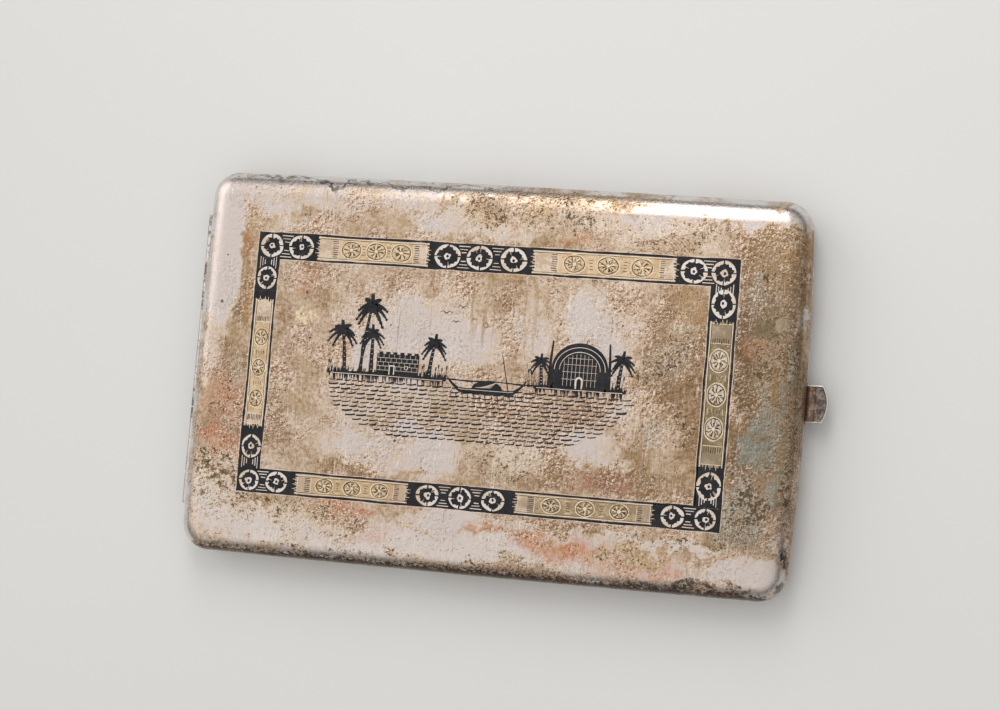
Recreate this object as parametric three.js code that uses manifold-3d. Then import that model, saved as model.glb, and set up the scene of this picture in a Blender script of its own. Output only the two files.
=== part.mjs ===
import * as THREE from "three";
import { mergeVertices } from "three/addons/utils/BufferGeometryUtils.js";
import Module from "manifold-3d";

// A hinged silver cigarette case, closed and lying on its back, with a niello frame in its lid.
// Millimetres, +Z up. The origin is the centre of the base's flat underside,
// +X points to the thumb piece and -X to the hinge.

// Case
const caseLength = 127.5;
const caseWidth = 80;
const caseHeight = 10.8;
const sheet = 0.8;
const cornerRadius = 5.5;
const rollWidth = 4.8;
const rollHeight = 4.4;
const frontBow = 1.2;
const hingeBow = 0.4;
const sideBow = 0.3;
const seamGap = 0.2;

// Clearances and overruns
const clearance = 0.3;
const cutOverrun = 1;

// Hinge
const knuckleCount = 9;
const knucklePitch = 6.8;
const knuckleRadius = 0.9;
const knuckleBore = 0.55;
const pinRadius = 0.25;
const hingeStandOff = 0.15;

// Bezel inside the base's rim
const bezelThickness = 0.5;
const bezelRise = 1.2;
const bezelDrop = 1.4;
const bezelSetback = 7.75;

// Niello frame in the lid's face
const nielloLength = 100.2;
const nielloWidth = 53.8;
const nielloBand = 5.4;
const nielloOffset = 0.75;
const nielloDepth = 0.35;
const nielloThickness = 0.3;
const nielloSideGap = 0.1;

// Thumb piece
const tongueThickness = 1;
const tabWidth = 7.6;
const tabReach = 4.4;
const tabBow = 1.2;
const tongueWing = 1;
const tongueInnerReach = 7.85;
const pressTravel = 1;

// Lid catch, a blade that drops through the tongue's window
const catchThickness = 0.7;
const catchWidth = 3.2;
const catchDepth = 2.1;
const catchArm = 0.7;
const catchWallGap = 0.6;
const catchGroove = 0.3;

// Saddle that guides the tongue
const saddleSheet = 0.6;
const saddleLength = 3.6;
const saddleFoot = 3.4;

// Height of every foot above the base's floor
const floorGap = 0.35;

// Leaf spring behind the tongue
const leafThickness = 0.3;
const leafWidth = 5;
const leafFoot = 3.3;
const leafBendRadius = 0.6;

// Rivets
const rivetRadius = 0.6;
const rivetHeadRadius = 1.15;
const rivetHeadHeight = 0.5;

// Elastic band and the loops that hold its ends
const bandWidth = 6;
const bandThickness = 0.5;
const keeperSheet = 0.6;
const keeperMargin = 1.4;
const keeperFoot = 3.4;
const keeperTop = 0.3;
const keeperHingeInset = 6.6;
const bandTail = 1.4;

// Smoothness, in counts
const cornerSteps = 7;
const rollSteps = 7;
const sideSteps = 8;
const barrelSides = 20;
const rivetSides = 14;
const bendSteps = 4;

// Worked out from the sizes above
const seam = caseHeight / 2;
const halfLength = caseLength / 2;
const halfWidth = caseWidth / 2;
const halfShellHeight = seam - seamGap / 2;
const rimHeight = halfShellHeight - rollHeight;
const hingeX = -halfLength - hingeStandOff;
const hingeLength = knuckleCount * knucklePitch;
const tongueTop = seam - clearance;
const tongueBottom = tongueTop - tongueThickness;
const bezelInset = sheet + clearance;
const bezelInnerX = halfLength - bezelInset - bezelThickness;
const catchOuterX = bezelInnerX - clearance;
const catchInnerX = catchOuterX - catchThickness;
const tongueInnerX = halfLength - tongueInnerReach;
const footBottom = sheet + floorGap;
const leafX = tongueInnerX - clearance - leafThickness;
const keeperTopZ = caseHeight - sheet - clearance;
const bandTop = keeperTopZ - keeperTop - clearance;
const bandBottom = bandTop - bandThickness;
const keeperHalf = bandWidth / 2 + keeperMargin;
const keeperLeftX = -halfLength + keeperHingeInset;
const keeperRightX = leafX - 2 * clearance - keeperFoot;

const wasm = await Module();
wasm.setup();

// Materials
const silver = () => new THREE.MeshStandardMaterial({ color: 0xc8b8a2, roughness: 0.34, metalness: 1 });
const polished = () => new THREE.MeshStandardMaterial({ color: 0xd8d2c8, roughness: 0.25, metalness: 1 });
const niello = () => new THREE.MeshStandardMaterial({ color: 0x1b1a1c, roughness: 0.42, metalness: 0.4 });
const springMetal = () => new THREE.MeshStandardMaterial({ color: 0xb08d57, roughness: 0.3, metalness: 1 });
const elastic = () => new THREE.MeshStandardMaterial({ color: 0x8a7446, roughness: 0.9, metalness: 0 });

// Turn a geometry into a solid that can be cut, and back
function toSolid(geometry) {
  const bare = geometry.clone();
  bare.deleteAttribute("normal");
  bare.deleteAttribute("uv");
  const merged = mergeVertices(bare);
  return new wasm.Manifold(new wasm.Mesh({
    numProp: 3,
    vertProperties: new Float32Array(merged.attributes.position.array),
    triVerts: new Uint32Array(merged.index.array),
  }));
}

function toGeometry(solid) {
  const mesh = solid.getMesh();
  const geometry = new THREE.BufferGeometry();
  geometry.setAttribute("position", new THREE.BufferAttribute(new Float32Array(mesh.vertProperties), 3));
  geometry.setIndex(new THREE.BufferAttribute(new Uint32Array(mesh.triVerts), 1));
  geometry.computeVertexNormals();
  return geometry;
}

function part(name, geometry, material) {
  const mesh = new THREE.Mesh(geometry, material);
  mesh.name = name;
  return mesh;
}

// A box between two corners
function block(low, high) {
  const size = high.map((value, axis) => value - low[axis]);
  const geometry = new THREE.BoxGeometry(...size);
  return geometry.translate(...high.map((value, axis) => (value + low[axis]) / 2));
}

// A polygon in X and Z, carried along Y and centred on it
function alongY(points, width) {
  const shape = new THREE.Shape(points.map(([x, z]) => new THREE.Vector2(x, z)));
  const geometry = new THREE.ExtrudeGeometry(shape, { depth: width, bevelEnabled: false });
  return geometry.rotateX(Math.PI / 2).translate(0, width / 2, 0);
}

// Pull a point of the plan in, so that the short and long sides bow gently outwards
function bowed(x, y) {
  const alongShare = x / halfLength;
  const acrossShare = y / halfWidth;
  const endBow = x > 0 ? frontBow : hingeBow;
  return [x - endBow * alongShare * acrossShare ** 2, y - sideBow * acrossShare * alongShare ** 2];
}

// The case's plan outline, moved in by an inset, as points that match from ring to ring
function planOutline(inset) {
  const radius = cornerRadius - inset;
  const length = halfLength - inset - radius;
  const width = halfWidth - inset - radius;
  const corners = [[length, width], [-length, width], [-length, -width], [length, -width]];
  const points = [];
  corners.forEach(([cx, cy], corner) => {
    const arc = [];
    for (let step = 0; step <= cornerSteps; step += 1) {
      const angle = (corner + step / cornerSteps) * Math.PI / 2;
      arc.push([cx + radius * Math.cos(angle), cy + radius * Math.sin(angle)]);
    }
    points.push(...arc);
    const [nextX, nextY] = corners[(corner + 1) % corners.length];
    const [lastX, lastY] = arc[arc.length - 1];
    for (let step = 1; step < sideSteps; step += 1) {
      const share = step / sideSteps;
      points.push([lastX + (nextX - cx) * share, lastY + (nextY - cy) * share]);
    }
  });
  return points.map(([x, y]) => bowed(x, y));
}

// A closed solid from plan rings, one above the other, with a flat cap at each end
function ringSolid(rings) {
  const positions = [];
  const indices = [];
  const count = rings[0].outline.length;
  rings.forEach(({ outline, z }) => outline.forEach(([x, y]) => positions.push(x, y, z)));
  for (let ring = 0; ring + 1 < rings.length; ring += 1) {
    for (let index = 0; index < count; index += 1) {
      const next = (index + 1) % count;
      const low = ring * count;
      const high = low + count;
      indices.push(low + index, low + next, high + next, low + index, high + next, high + index);
    }
  }
  const last = (rings.length - 1) * count;
  for (let index = 1; index + 1 < count; index += 1) {
    indices.push(0, index + 1, index);
    indices.push(last, last + index, last + index + 1);
  }
  const geometry = new THREE.BufferGeometry();
  geometry.setAttribute("position", new THREE.Float32BufferAttribute(positions, 3));
  geometry.setIndex(indices);
  return geometry;
}

// The rounded form of one half of the case, its open side at zero and its flat face up
function cushion(inset, overrun) {
  const width = rollWidth - inset;
  const height = rollHeight - inset;
  const rings = [{ outline: planOutline(inset), z: -overrun }];
  for (let step = 0; step <= rollSteps; step += 1) {
    const angle = step / rollSteps * Math.PI / 2;
    const outline = planOutline(inset + width * (1 - Math.cos(angle)));
    rings.push({ outline, z: rimHeight + height * Math.sin(angle) });
  }
  return ringSolid(rings);
}

// A tube along Y
function barrel(outerRadius, innerRadius, length, sides) {
  const half = length / 2;
  const profile = [[innerRadius, -half], [outerRadius, -half], [outerRadius, half], [innerRadius, half]];
  const points = [...profile, profile[0]].map(([radius, y]) => new THREE.Vector2(radius, y));
  return new THREE.LatheGeometry(points, sides);
}

// One half of the case with the channel for the hinge barrel
function halfShell() {
  const outer = toSolid(cushion(0, 0));
  const inner = toSolid(cushion(sheet, cutOverrun));
  const channelRadius = knuckleRadius + clearance;
  const channelLength = hingeLength + 2 * clearance;
  const channel = new THREE.CylinderGeometry(channelRadius, channelRadius, channelLength, barrelSides);
  channel.translate(hingeX, 0, -seamGap / 2);
  return outer.subtract(inner).subtract(toSolid(channel));
}

// The band of the niello frame as a flat ring, for the inlay and for its recess
function frameBand(grow, bottom, top) {
  const outerX = nielloLength / 2 + grow;
  const outerY = nielloWidth / 2 + grow;
  const innerX = nielloLength / 2 - nielloBand - grow;
  const innerY = nielloWidth / 2 - nielloBand - grow;
  const outer = toSolid(block([-outerX, -outerY, bottom], [outerX, outerY, top]));
  const low = [-innerX, -innerY, bottom - cutOverrun];
  const inner = toSolid(block(low, [innerX, innerY, top + cutOverrun]));
  return outer.subtract(inner).translate([-nielloOffset, 0, 0]);
}

function makeLidShell() {
  const recess = frameBand(0, halfShellHeight - nielloDepth, halfShellHeight + cutOverrun);
  return part("lid_shell", toGeometry(halfShell().subtract(recess)), silver());
}

function makeNielloBorder() {
  const top = halfShellHeight;
  const band = frameBand(-nielloSideGap, top - nielloThickness, top);
  return part("niello_border", toGeometry(band), niello());
}

// The base is the same tray turned over, with the tongue's slot in its front wall
function makeBaseShell() {
  const slotHalf = tabWidth / 2 + clearance;
  const slotDepth = tongueThickness + 2 * clearance - seamGap / 2;
  const low = [halfLength - sheet - cutOverrun, -slotHalf, -cutOverrun];
  const slot = block(low, [halfLength + cutOverrun, slotHalf, slotDepth]);
  const mesh = part("base_shell", toGeometry(halfShell().subtract(toSolid(slot))), silver());
  mesh.rotation.x = Math.PI;
  return mesh;
}

// The strip that stands up inside the base's rim on three sides
function makeBezel() {
  const levels = [seam - bezelDrop, seam + bezelRise];
  const outer = ringSolid(levels.map((z) => ({ outline: planOutline(bezelInset), z })));
  const innerLevels = [levels[0] - cutOverrun, levels[1] + cutOverrun];
  const inset = bezelInset + bezelThickness;
  const inner = ringSolid(innerLevels.map((z) => ({ outline: planOutline(inset), z })));
  const open = block(
    [-halfLength - cutOverrun, -halfWidth, innerLevels[0]],
    [-halfLength + bezelSetback, halfWidth, innerLevels[1]],
  );
  const slotHalf = tabWidth / 2 + clearance;
  const slot = block(
    [bezelInnerX - cutOverrun, -slotHalf, innerLevels[0]],
    [halfLength, slotHalf, tongueTop + clearance],
  );
  const solid = [inner, open, slot].reduce((body, cut) => body.subtract(toSolid(cut)), toSolid(outer));
  return part("base_bezel", toGeometry(solid), polished());
}

// Hinge barrel: odd tubes belong to the base, even ones to the lid
function makeKnuckles(firstIndex, prefix) {
  const knuckles = [];
  for (let index = firstIndex; index < knuckleCount; index += 2) {
    const tube = barrel(knuckleRadius, knuckleBore, knucklePitch - clearance, barrelSides);
    const mesh = part(`${prefix}_${knuckles.length + 1}`, tube, polished());
    mesh.position.set(hingeX, (index - (knuckleCount - 1) / 2) * knucklePitch, seam);
    knuckles.push(mesh);
  }
  return knuckles;
}

function makeHingePin() {
  const rod = new THREE.CylinderGeometry(pinRadius, pinRadius, hingeLength - clearance, barrelSides);
  const mesh = part("hinge_pin", rod, springMetal());
  mesh.position.set(hingeX, 0, seam);
  return mesh;
}

// Sliding tongue: a plate with wings inside, a window for the catch and a round-ended tab outside
function makeTongue() {
  const tabHalf = tabWidth / 2;
  const wingHalf = tabHalf + tongueWing;
  const wingEnd = bezelInnerX - clearance;
  const tip = halfLength + tabReach;
  const shape = new THREE.Shape();
  shape.moveTo(tongueInnerX, -wingHalf);
  shape.lineTo(wingEnd, -wingHalf);
  shape.lineTo(wingEnd, -tabHalf);
  shape.lineTo(tip - tabBow, -tabHalf);
  shape.quadraticCurveTo(tip + tabBow, 0, tip - tabBow, tabHalf);
  shape.lineTo(wingEnd, tabHalf);
  shape.lineTo(wingEnd, wingHalf);
  shape.lineTo(tongueInnerX, wingHalf);
  shape.closePath();
  const plate = new THREE.ExtrudeGeometry(shape, {
    depth: tongueThickness, bevelEnabled: false, curveSegments: bendSteps,
  });
  const windowHalf = catchWidth / 2 + clearance;
  const opening = block(
    [catchInnerX - clearance, -windowHalf, -cutOverrun],
    [catchOuterX + clearance + pressTravel, windowHalf, tongueThickness + cutOverrun],
  );
  const mesh = part("thumb_tongue", toGeometry(toSolid(plate).subtract(toSolid(opening))), polished());
  mesh.position.z = tongueBottom;
  return mesh;
}

// Catch blade on the lid: an arm to the lid's wall and a leg down through the window, grooved
// at the plate's height where the window's edge would bite
function makeLidCatch() {
  const armBottom = seam + bezelRise + clearance;
  const armTop = armBottom + catchArm;
  const armEnd = halfLength - sheet - catchWallGap;
  const bottom = seam - catchDepth;
  const grooveX = catchInnerX + catchGroove;
  const outline = [
    [catchInnerX, bottom],
    [catchOuterX, bottom],
    [catchOuterX, armBottom],
    [armEnd, armBottom],
    [armEnd, armTop],
    [catchInnerX, armTop],
    [catchInnerX, tongueTop + clearance],
    [grooveX, tongueTop],
    [grooveX, tongueBottom],
    [catchInnerX, tongueBottom - clearance],
  ];
  return part("lid_catch", alongY(outline, catchWidth), polished());
}

// Saddle under the tongue: a plate, two cheeks and two feet, folded from one strip
function makeSaddle() {
  const cheekInner = tabWidth / 2 + tongueWing + clearance;
  const cheekOuter = cheekInner + saddleSheet;
  const plateTop = tongueBottom - clearance;
  const cheekTop = tongueTop;
  const footTop = footBottom + saddleSheet;
  const half = [
    [cheekInner, plateTop],
    [cheekInner, cheekTop],
    [cheekOuter, cheekTop],
    [cheekOuter, footTop],
    [cheekOuter + saddleFoot, footTop],
    [cheekOuter + saddleFoot, footBottom],
    [cheekInner, footBottom],
    [cheekInner, plateTop - saddleSheet],
  ];
  const mirrored = half.map(([y, z]) => [-y, z]).reverse();
  const shape = new THREE.Shape([...half, ...mirrored].map(([y, z]) => new THREE.Vector2(y, z)));
  const geometry = new THREE.ExtrudeGeometry(shape, { depth: saddleLength, bevelEnabled: false });
  geometry.rotateX(Math.PI / 2).rotateZ(Math.PI / 2).translate(tongueInnerX, 0, 0);
  const solid = [1, -1].reduce((body, side) => {
    const hole = new THREE.CylinderGeometry(
      rivetRadius + clearance, rivetRadius + clearance, saddleSheet + 2 * cutOverrun, rivetSides,
    );
    hole.rotateX(Math.PI / 2).translate(...saddleRivetPlace(side), footBottom);
    return body.subtract(toSolid(hole));
  }, toSolid(geometry));
  return part("tongue_guide", toGeometry(solid), springMetal());
}

function saddleRivetPlace(side) {
  const cheekOuter = tabWidth / 2 + tongueWing + clearance + saddleSheet;
  return [tongueInnerX + saddleLength / 2, side * (cheekOuter + saddleFoot / 2)];
}

// Leaf spring: a foot under the tongue and a blade up behind it, with a rounded bend
function makeLeafSpring() {
  const bottom = footBottom;
  const outer = leafBendRadius;
  const inner = leafBendRadius - leafThickness;
  const centre = [leafX + outer, bottom + outer];
  const bend = (radius, step) => {
    const angle = Math.PI + step / bendSteps * Math.PI / 2;
    return [centre[0] + radius * Math.cos(angle), centre[1] + radius * Math.sin(angle)];
  };
  const steps = [...Array(bendSteps + 1).keys()];
  const outline = [
    ...steps.map((step) => bend(outer, step)),
    [leafX + leafFoot, bottom],
    [leafX + leafFoot, bottom + leafThickness],
    ...steps.reverse().map((step) => bend(inner, step)),
    [leafX + leafThickness, tongueTop],
    [leafX, tongueTop],
  ];
  const hole = new THREE.CylinderGeometry(
    rivetRadius + clearance, rivetRadius + clearance, leafThickness + 2 * cutOverrun, rivetSides,
  );
  hole.rotateX(Math.PI / 2).translate(leafRivetX(), 0, bottom);
  const solid = toSolid(alongY(outline, leafWidth)).subtract(toSolid(hole));
  return part("latch_spring", toGeometry(solid), springMetal());
}

function leafRivetX() {
  return leafX + (leafBendRadius + leafFoot) / 2;
}

// A rivet through a plate of a given thickness, its shank on the floor below
function makeRivet(name, x, y, plateTop) {
  const low = sheet + clearance / 2;
  const headBottom = plateTop + clearance / 2;
  const profile = [
    [0, low],
    [rivetRadius, low],
    [rivetRadius, headBottom],
    [rivetHeadRadius, headBottom],
    [rivetHeadRadius * Math.SQRT1_2, headBottom + rivetHeadHeight * Math.SQRT1_2],
    [0, headBottom + rivetHeadHeight],
  ].map(([radius, z]) => new THREE.Vector2(radius, z));
  const mesh = part(name, new THREE.LatheGeometry(profile, rivetSides).rotateX(Math.PI / 2), polished());
  mesh.position.set(x, y, 0);
  return mesh;
}

// Loop at one end of the elastic band: a foot, and an upright plate with a slot for the band.
// The foot points outwards, away from the cigarettes.
function makeKeeper(name, plateX, outward) {
  const farX = plateX + outward * keeperFoot;
  const backX = plateX + outward * keeperSheet;
  const footTop = footBottom + keeperSheet;
  const outline = [
    [plateX, footBottom],
    [farX, footBottom],
    [farX, footTop],
    [backX, footTop],
    [backX, keeperTopZ],
    [plateX, keeperTopZ],
  ];
  const ordered = outward > 0 ? outline : outline.reverse();
  const slotHalf = bandWidth / 2 + clearance;
  const lowX = Math.min(plateX, backX) - cutOverrun;
  const highX = Math.max(plateX, backX) + cutOverrun;
  const slot = block(
    [lowX, -slotHalf, bandBottom - clearance],
    [highX, slotHalf, bandTop + clearance],
  );
  let solid = toSolid(alongY(ordered, 2 * keeperHalf)).subtract(toSolid(slot));
  for (const side of [1, -1]) {
    const [x, y] = keeperRivetPlace(plateX, outward, side);
    const hole = new THREE.CylinderGeometry(
      rivetRadius + clearance, rivetRadius + clearance, keeperSheet + 2 * cutOverrun, rivetSides,
    );
    hole.rotateX(Math.PI / 2).translate(x, y, footBottom);
    solid = solid.subtract(toSolid(hole));
  }
  return part(name, toGeometry(solid), polished());
}

function keeperRivetPlace(plateX, outward, side) {
  return [plateX + outward * (keeperSheet + keeperFoot) / 2, side * keeperHalf / 2];
}

function makeBand() {
  const tail = keeperSheet + bandTail;
  const low = [keeperLeftX - tail, -bandWidth / 2, bandBottom];
  const high = [keeperRightX + tail, bandWidth / 2, bandTop];
  return part("retaining_band", block(low, high), elastic());
}

const base = new THREE.Group();
const baseShell = makeBaseShell();
baseShell.position.z = halfShellHeight;
const saddleFootTop = footBottom + saddleSheet;
base.add(
  baseShell,
  makeBezel(),
  ...makeKnuckles(0, "base_knuckle"),
  makeHingePin(),
  makeSaddle(),
  makeLeafSpring(),
  makeBand(),
  makeKeeper("band_keeper_left", keeperLeftX, -1),
  makeKeeper("band_keeper_right", keeperRightX, 1),
);
[1, -1].forEach((side, index) => {
  base.add(makeRivet(`guide_rivet_${index + 1}`, ...saddleRivetPlace(side), saddleFootTop));
});
base.add(makeRivet("spring_rivet", leafRivetX(), 0, footBottom + leafThickness));
let keeperRivets = 0;
for (const [plateX, outward] of [[keeperLeftX, -1], [keeperRightX, 1]]) {
  for (const side of [1, -1]) {
    keeperRivets += 1;
    const [x, y] = keeperRivetPlace(plateX, outward, side);
    base.add(makeRivet(`keeper_rivet_${keeperRivets}`, x, y, footBottom + keeperSheet));
  }
}

const lid = new THREE.Group();
const lidTray = new THREE.Group();
lidTray.position.z = seam + seamGap / 2;
lidTray.add(makeLidShell(), makeNielloBorder());
lid.add(lidTray, ...makeKnuckles(1, "lid_knuckle"), makeLidCatch());

const group = new THREE.Group();
group.add(base, lid, makeTongue());

export default group;
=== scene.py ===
"""A worn silver cigarette case, a niello frame and river scene on its lid, lying closed on a pale floor."""

import random
from math import copysign, cos, dist, exp, inf, pi, radians, sin, sqrt

import bmesh
import bpy
from mathutils import Matrix, Vector, geometry, noise


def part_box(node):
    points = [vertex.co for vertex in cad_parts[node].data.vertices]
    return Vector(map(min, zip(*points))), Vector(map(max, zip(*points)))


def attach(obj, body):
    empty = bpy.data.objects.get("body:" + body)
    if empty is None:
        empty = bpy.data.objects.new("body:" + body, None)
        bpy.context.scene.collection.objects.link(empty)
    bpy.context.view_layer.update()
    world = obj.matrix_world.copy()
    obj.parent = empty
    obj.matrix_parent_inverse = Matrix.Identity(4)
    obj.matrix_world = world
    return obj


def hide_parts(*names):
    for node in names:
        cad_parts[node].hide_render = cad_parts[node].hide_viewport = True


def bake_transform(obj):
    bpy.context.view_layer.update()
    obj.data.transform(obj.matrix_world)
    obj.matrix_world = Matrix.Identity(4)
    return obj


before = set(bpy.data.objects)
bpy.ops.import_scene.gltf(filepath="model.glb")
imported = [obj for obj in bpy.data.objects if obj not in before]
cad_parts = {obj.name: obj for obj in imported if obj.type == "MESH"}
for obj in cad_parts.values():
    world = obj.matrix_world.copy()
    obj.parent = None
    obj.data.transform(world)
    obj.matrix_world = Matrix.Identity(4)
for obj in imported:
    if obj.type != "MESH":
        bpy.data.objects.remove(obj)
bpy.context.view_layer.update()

# Lengths below are millimetres in the part's frame, and MM turns them into metres
MM = 0.001

# Driving sizes of the case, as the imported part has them
CASE_LENGTH = 127.5
CASE_WIDTH = 80.0
CASE_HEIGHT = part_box("lid_shell")[1][2] / MM
SHEET = 0.8
CORNER_RADIUS = 5.5
ROLL_WIDTH = 4.8
ROLL_HEIGHT = 4.4
FRONT_BOW = 1.2
HINGE_BOW = 0.4
SIDE_BOW = 0.3
SEAM_GAP = 0.2
SEAM = CASE_HEIGHT / 2
SHELL_HEIGHT = SEAM - SEAM_GAP / 2
RIM_HEIGHT = SHELL_HEIGHT - ROLL_HEIGHT
RIM_ROUND = 0.16

# The dents fade in over this inset, and stop short of the flat face, which has plain rings for its shading
DENT_FADE = 1.5
DENT_LIMIT = ROLL_WIDTH - 0.4
CAP_RINGS = (0.25, 1.5)

# Hinge
HINGE_X = -CASE_LENGTH / 2 - 0.15
KNUCKLE_RADIUS = 0.9
KNUCKLE_BORE = 0.55
KNUCKLE_ROUND = 0.1
CHANNEL_RADIUS = 1.2
CHANNEL_LENGTH = 61.8

# Thumb piece: its tongue with a window for the catch, the slot it slides in, and its pad outside
SLOT_HALF = 4.1
SLOT_DEPTH = 1.5
WINDOW_START = 60.85
WINDOW_END = 63.15
WINDOW_HALF = 1.9
WING_END = 61.85
WING_WIDTH = 1.0
TONGUE_END = 63.3
TAB_WIDTH = 7.6
TAB_REACH = 4.4
TAB_BOW = 1.2
TAB_ROOT = WINDOW_END
TAB_RIDGE = CASE_LENGTH / 2 + 0.8
TAB_STEP = CASE_LENGTH / 2 + 1.65
TAB_ROUND = 0.2
RIDGE_HEIGHT = 0.22
RIDGE_WIDTH = 0.75
PAD_DEPTH = 0.14
RIM_WIDTH = 0.34
RIM_SLOPE = 0.16

# Leaf spring
LEAF_THICKNESS = 0.3
LEAF_BEND = 0.6
LEAF_BEVEL = 0.07
LEAF_TAPER = 0.14

# The camera stands where the photograph was taken from
CAMERA_PLACE = (108.9, -25.2, 453.0)
CAMERA_TARGET = (2.2, 4.9, 10.8)
CAMERA_ROLL = 5.0
CAMERA_LENS = 81.2
SENSOR_WIDTH = 36.0

# The floor, and the one lamp beside the soft daylight, which is in metres and watts
FLOOR_REACH = 3000.0
LAMP_PLACE = (-0.01, 0.33, 0.36)
LAMP_TARGET = (0.03, 0.03, 0.01)
LAMP_SIDES = (0.17, 0.38)
LAMP_POWER = 0.75

# Pitches that repeat in the materials, and how far out the inside's walls stand
PRINT_PITCH = 0.62
CIGARETTE_PITCH = 7.9
CORD_PITCH = 0.75
WEAVE_PITCH = 0.42
WALL_X = 61.4
WALL_Y = 37.6


def srgb(red, green, blue):
    """A colour written as 0 to 255 screen values, in the linear values that the shaders take."""
    linear = []
    for share in (red / 255, green / 255, blue / 255):
        linear.append(share / 12.92 if share <= 0.04045 else ((share + 0.055) / 1.055) ** 2.4)
    return (*linear, 1.0)


class Value:
    """A node's output. Arithmetic on it makes further nodes."""

    def __init__(self, graph, socket):
        self.graph = graph
        self.socket = socket

    def __add__(self, other):
        return self.graph.math("ADD", self, other)

    def __sub__(self, other):
        return self.graph.math("SUBTRACT", self, other)

    def __rsub__(self, other):
        return self.graph.math("SUBTRACT", other, self)

    def __mul__(self, other):
        return self.graph.math("MULTIPLY", self, other)

    def __abs__(self):
        return self.graph.math("ABSOLUTE", self)

    def fused(self, factor, added):
        """Multiplied and added to, in one node."""
        return self.graph.math("MULTIPLY_ADD", self, factor, added)

    def swing(self, reach):
        """Noise from 0 to 1, turned to a swing either side of nothing."""
        return self.fused(2 * reach, -reach)

    def rise(self, low, high, least=0.0, most=1.0):
        """A smooth step of the value, from least at low to most at high."""
        values = (self, low, high, least, most)
        return self.graph.make("ShaderNodeMapRange", values, "Result", interpolation_type="SMOOTHSTEP")


class Graph:
    """Short calls that build the nodes of a world or a new material, with the colour painted so far."""

    def __init__(self, owner, coordinates="Object"):
        self.owner = bpy.data.materials.new(owner) if isinstance(owner, str) else owner
        self.owner.use_nodes = True
        self.tree = self.owner.node_tree
        self.tree.nodes.clear()
        self.place = self.make("ShaderNodeTexCoord", (), coordinates)
        self.colour = None

    def make(self, kind, values, output=0, **settings):
        """A node with its inputs, in their order or by name, and one of its outputs as a value."""
        made = self.tree.nodes.new(kind)
        for key, value in settings.items():
            setattr(made, key, value)
        for key, value in values.items() if isinstance(values, dict) else enumerate(values):
            if isinstance(value, Value):
                self.tree.links.new(value.socket, made.inputs[key])
            elif value is not None:
                made.inputs[key].default_value = value
        return Value(self, made.outputs[output]) if made.outputs else None

    def math(self, operation, *values):
        return self.make("ShaderNodeMath", values, operation=operation)

    def vector(self, operation, *values):
        output = "Value" if operation in ("LENGTH", "DOT_PRODUCT") else "Vector"
        return self.make("ShaderNodeVectorMath", values, output, operation=operation)

    def noise(self, size, detail=4.0, rough=0.55, place=None, shift=0.0, output="Fac"):
        """Fractal noise from 0 to 1 whose largest features are about size millimetres across."""
        where = place or self.place
        if shift:
            where = self.vector("ADD", where, (shift * MM, -shift * MM, shift * MM))
        values = {"Vector": where, "Scale": 1 / (size * MM), "Detail": detail, "Roughness": rough}
        return self.make("ShaderNodeTexNoise", values, output)

    def cells(self, size):
        values = {"Vector": self.place, "Scale": 1 / (size * MM)}
        return self.make("ShaderNodeTexVoronoi", values, "Distance", feature="F1")

    def axis(self, name):
        return self.make("ShaderNodeSeparateXYZ", (self.place,), name)

    def shaken(self, layers):
        """The place, pushed about by noise: each layer a feature size and a usual reach."""
        place = self.place
        for size, reach in layers:
            push = 7 * reach * MM
            colour = self.noise(size, 2.0, 0.5, shift=size * 3, output="Color")
            moved = self.vector("MULTIPLY_ADD", colour, (push,) * 3, (-push / 2,) * 3)
            place = self.vector("ADD", place, moved)
        return place

    def stretch(self, scale, turn=0.0):
        """The place, turned about Z and stretched, for marks that run one way."""
        values = {"Vector": self.place, "Rotation": (0, 0, radians(turn)), "Scale": scale}
        return self.make("ShaderNodeMapping", values, "Vector", vector_type="POINT")

    def away(self, place, x, y, radius_x, radius_y):
        """How far out of an ellipse on the face a place is, with 1 on its edge."""
        inverse = (1 / (radius_x * MM), 1 / (radius_y * MM), 0.0)
        offset = (-x / radius_x, -y / radius_y, 0.0)
        return self.vector("LENGTH", self.vector("MULTIPLY_ADD", place, inverse, offset))

    def spots(self, place, rows, soft):
        """The strongest of several soft ellipses, each row a centre, two radii and a strength."""
        total = None
        for *ellipse, strength in rows:
            one = self.away(place, *ellipse).rise(1 + soft, 1 - soft, 0.0, strength)
            total = self.math("MAXIMUM", total, one) if total else one
        return total

    def mix(self, share, first, second):
        return self.make("ShaderNodeMix", {0: share, 6: first, 7: second}, 2, data_type="RGBA")

    def paint(self, share, tint):
        """Lay a tint over the colour so far."""
        self.colour = self.mix(share, self.colour, tint)

    def hairlines(self, tones, size, flat, thin, patch, limit, most):
        """Straight fine scratches, each row a turn in degrees and a tone, which show in patches only."""
        for turn, tone in tones:
            line = self.noise(size, 1.0, 0.5, place=self.stretch((0.9, flat, 1.0), turn), shift=turn)
            seldom = self.noise(patch, 3.0, 0.5, shift=50 + turn).rise(0.5, limit, 0.0, most)
            self.paint(abs(line - 0.5).rise(*thin) * seldom, tone)

    def bump(self, height, distance, strength=1.0, under=None):
        values = {"Strength": strength, "Distance": distance * MM, "Height": height, "Normal": under}
        return self.make("ShaderNodeBump", values, "Normal")

    def finish(self, roughness, metallic=0.0, normal=None, **more):
        """Close a material, its base colour as painted, and return it."""
        values = {"Base Color": self.colour, "Roughness": roughness, "Metallic": metallic, "Normal": normal}
        values.update((name.replace("_", " "), value) for name, value in more.items())
        self.make("ShaderNodeOutputMaterial", (self.make("ShaderNodeBsdfPrincipled", values),))
        return self.owner


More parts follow.
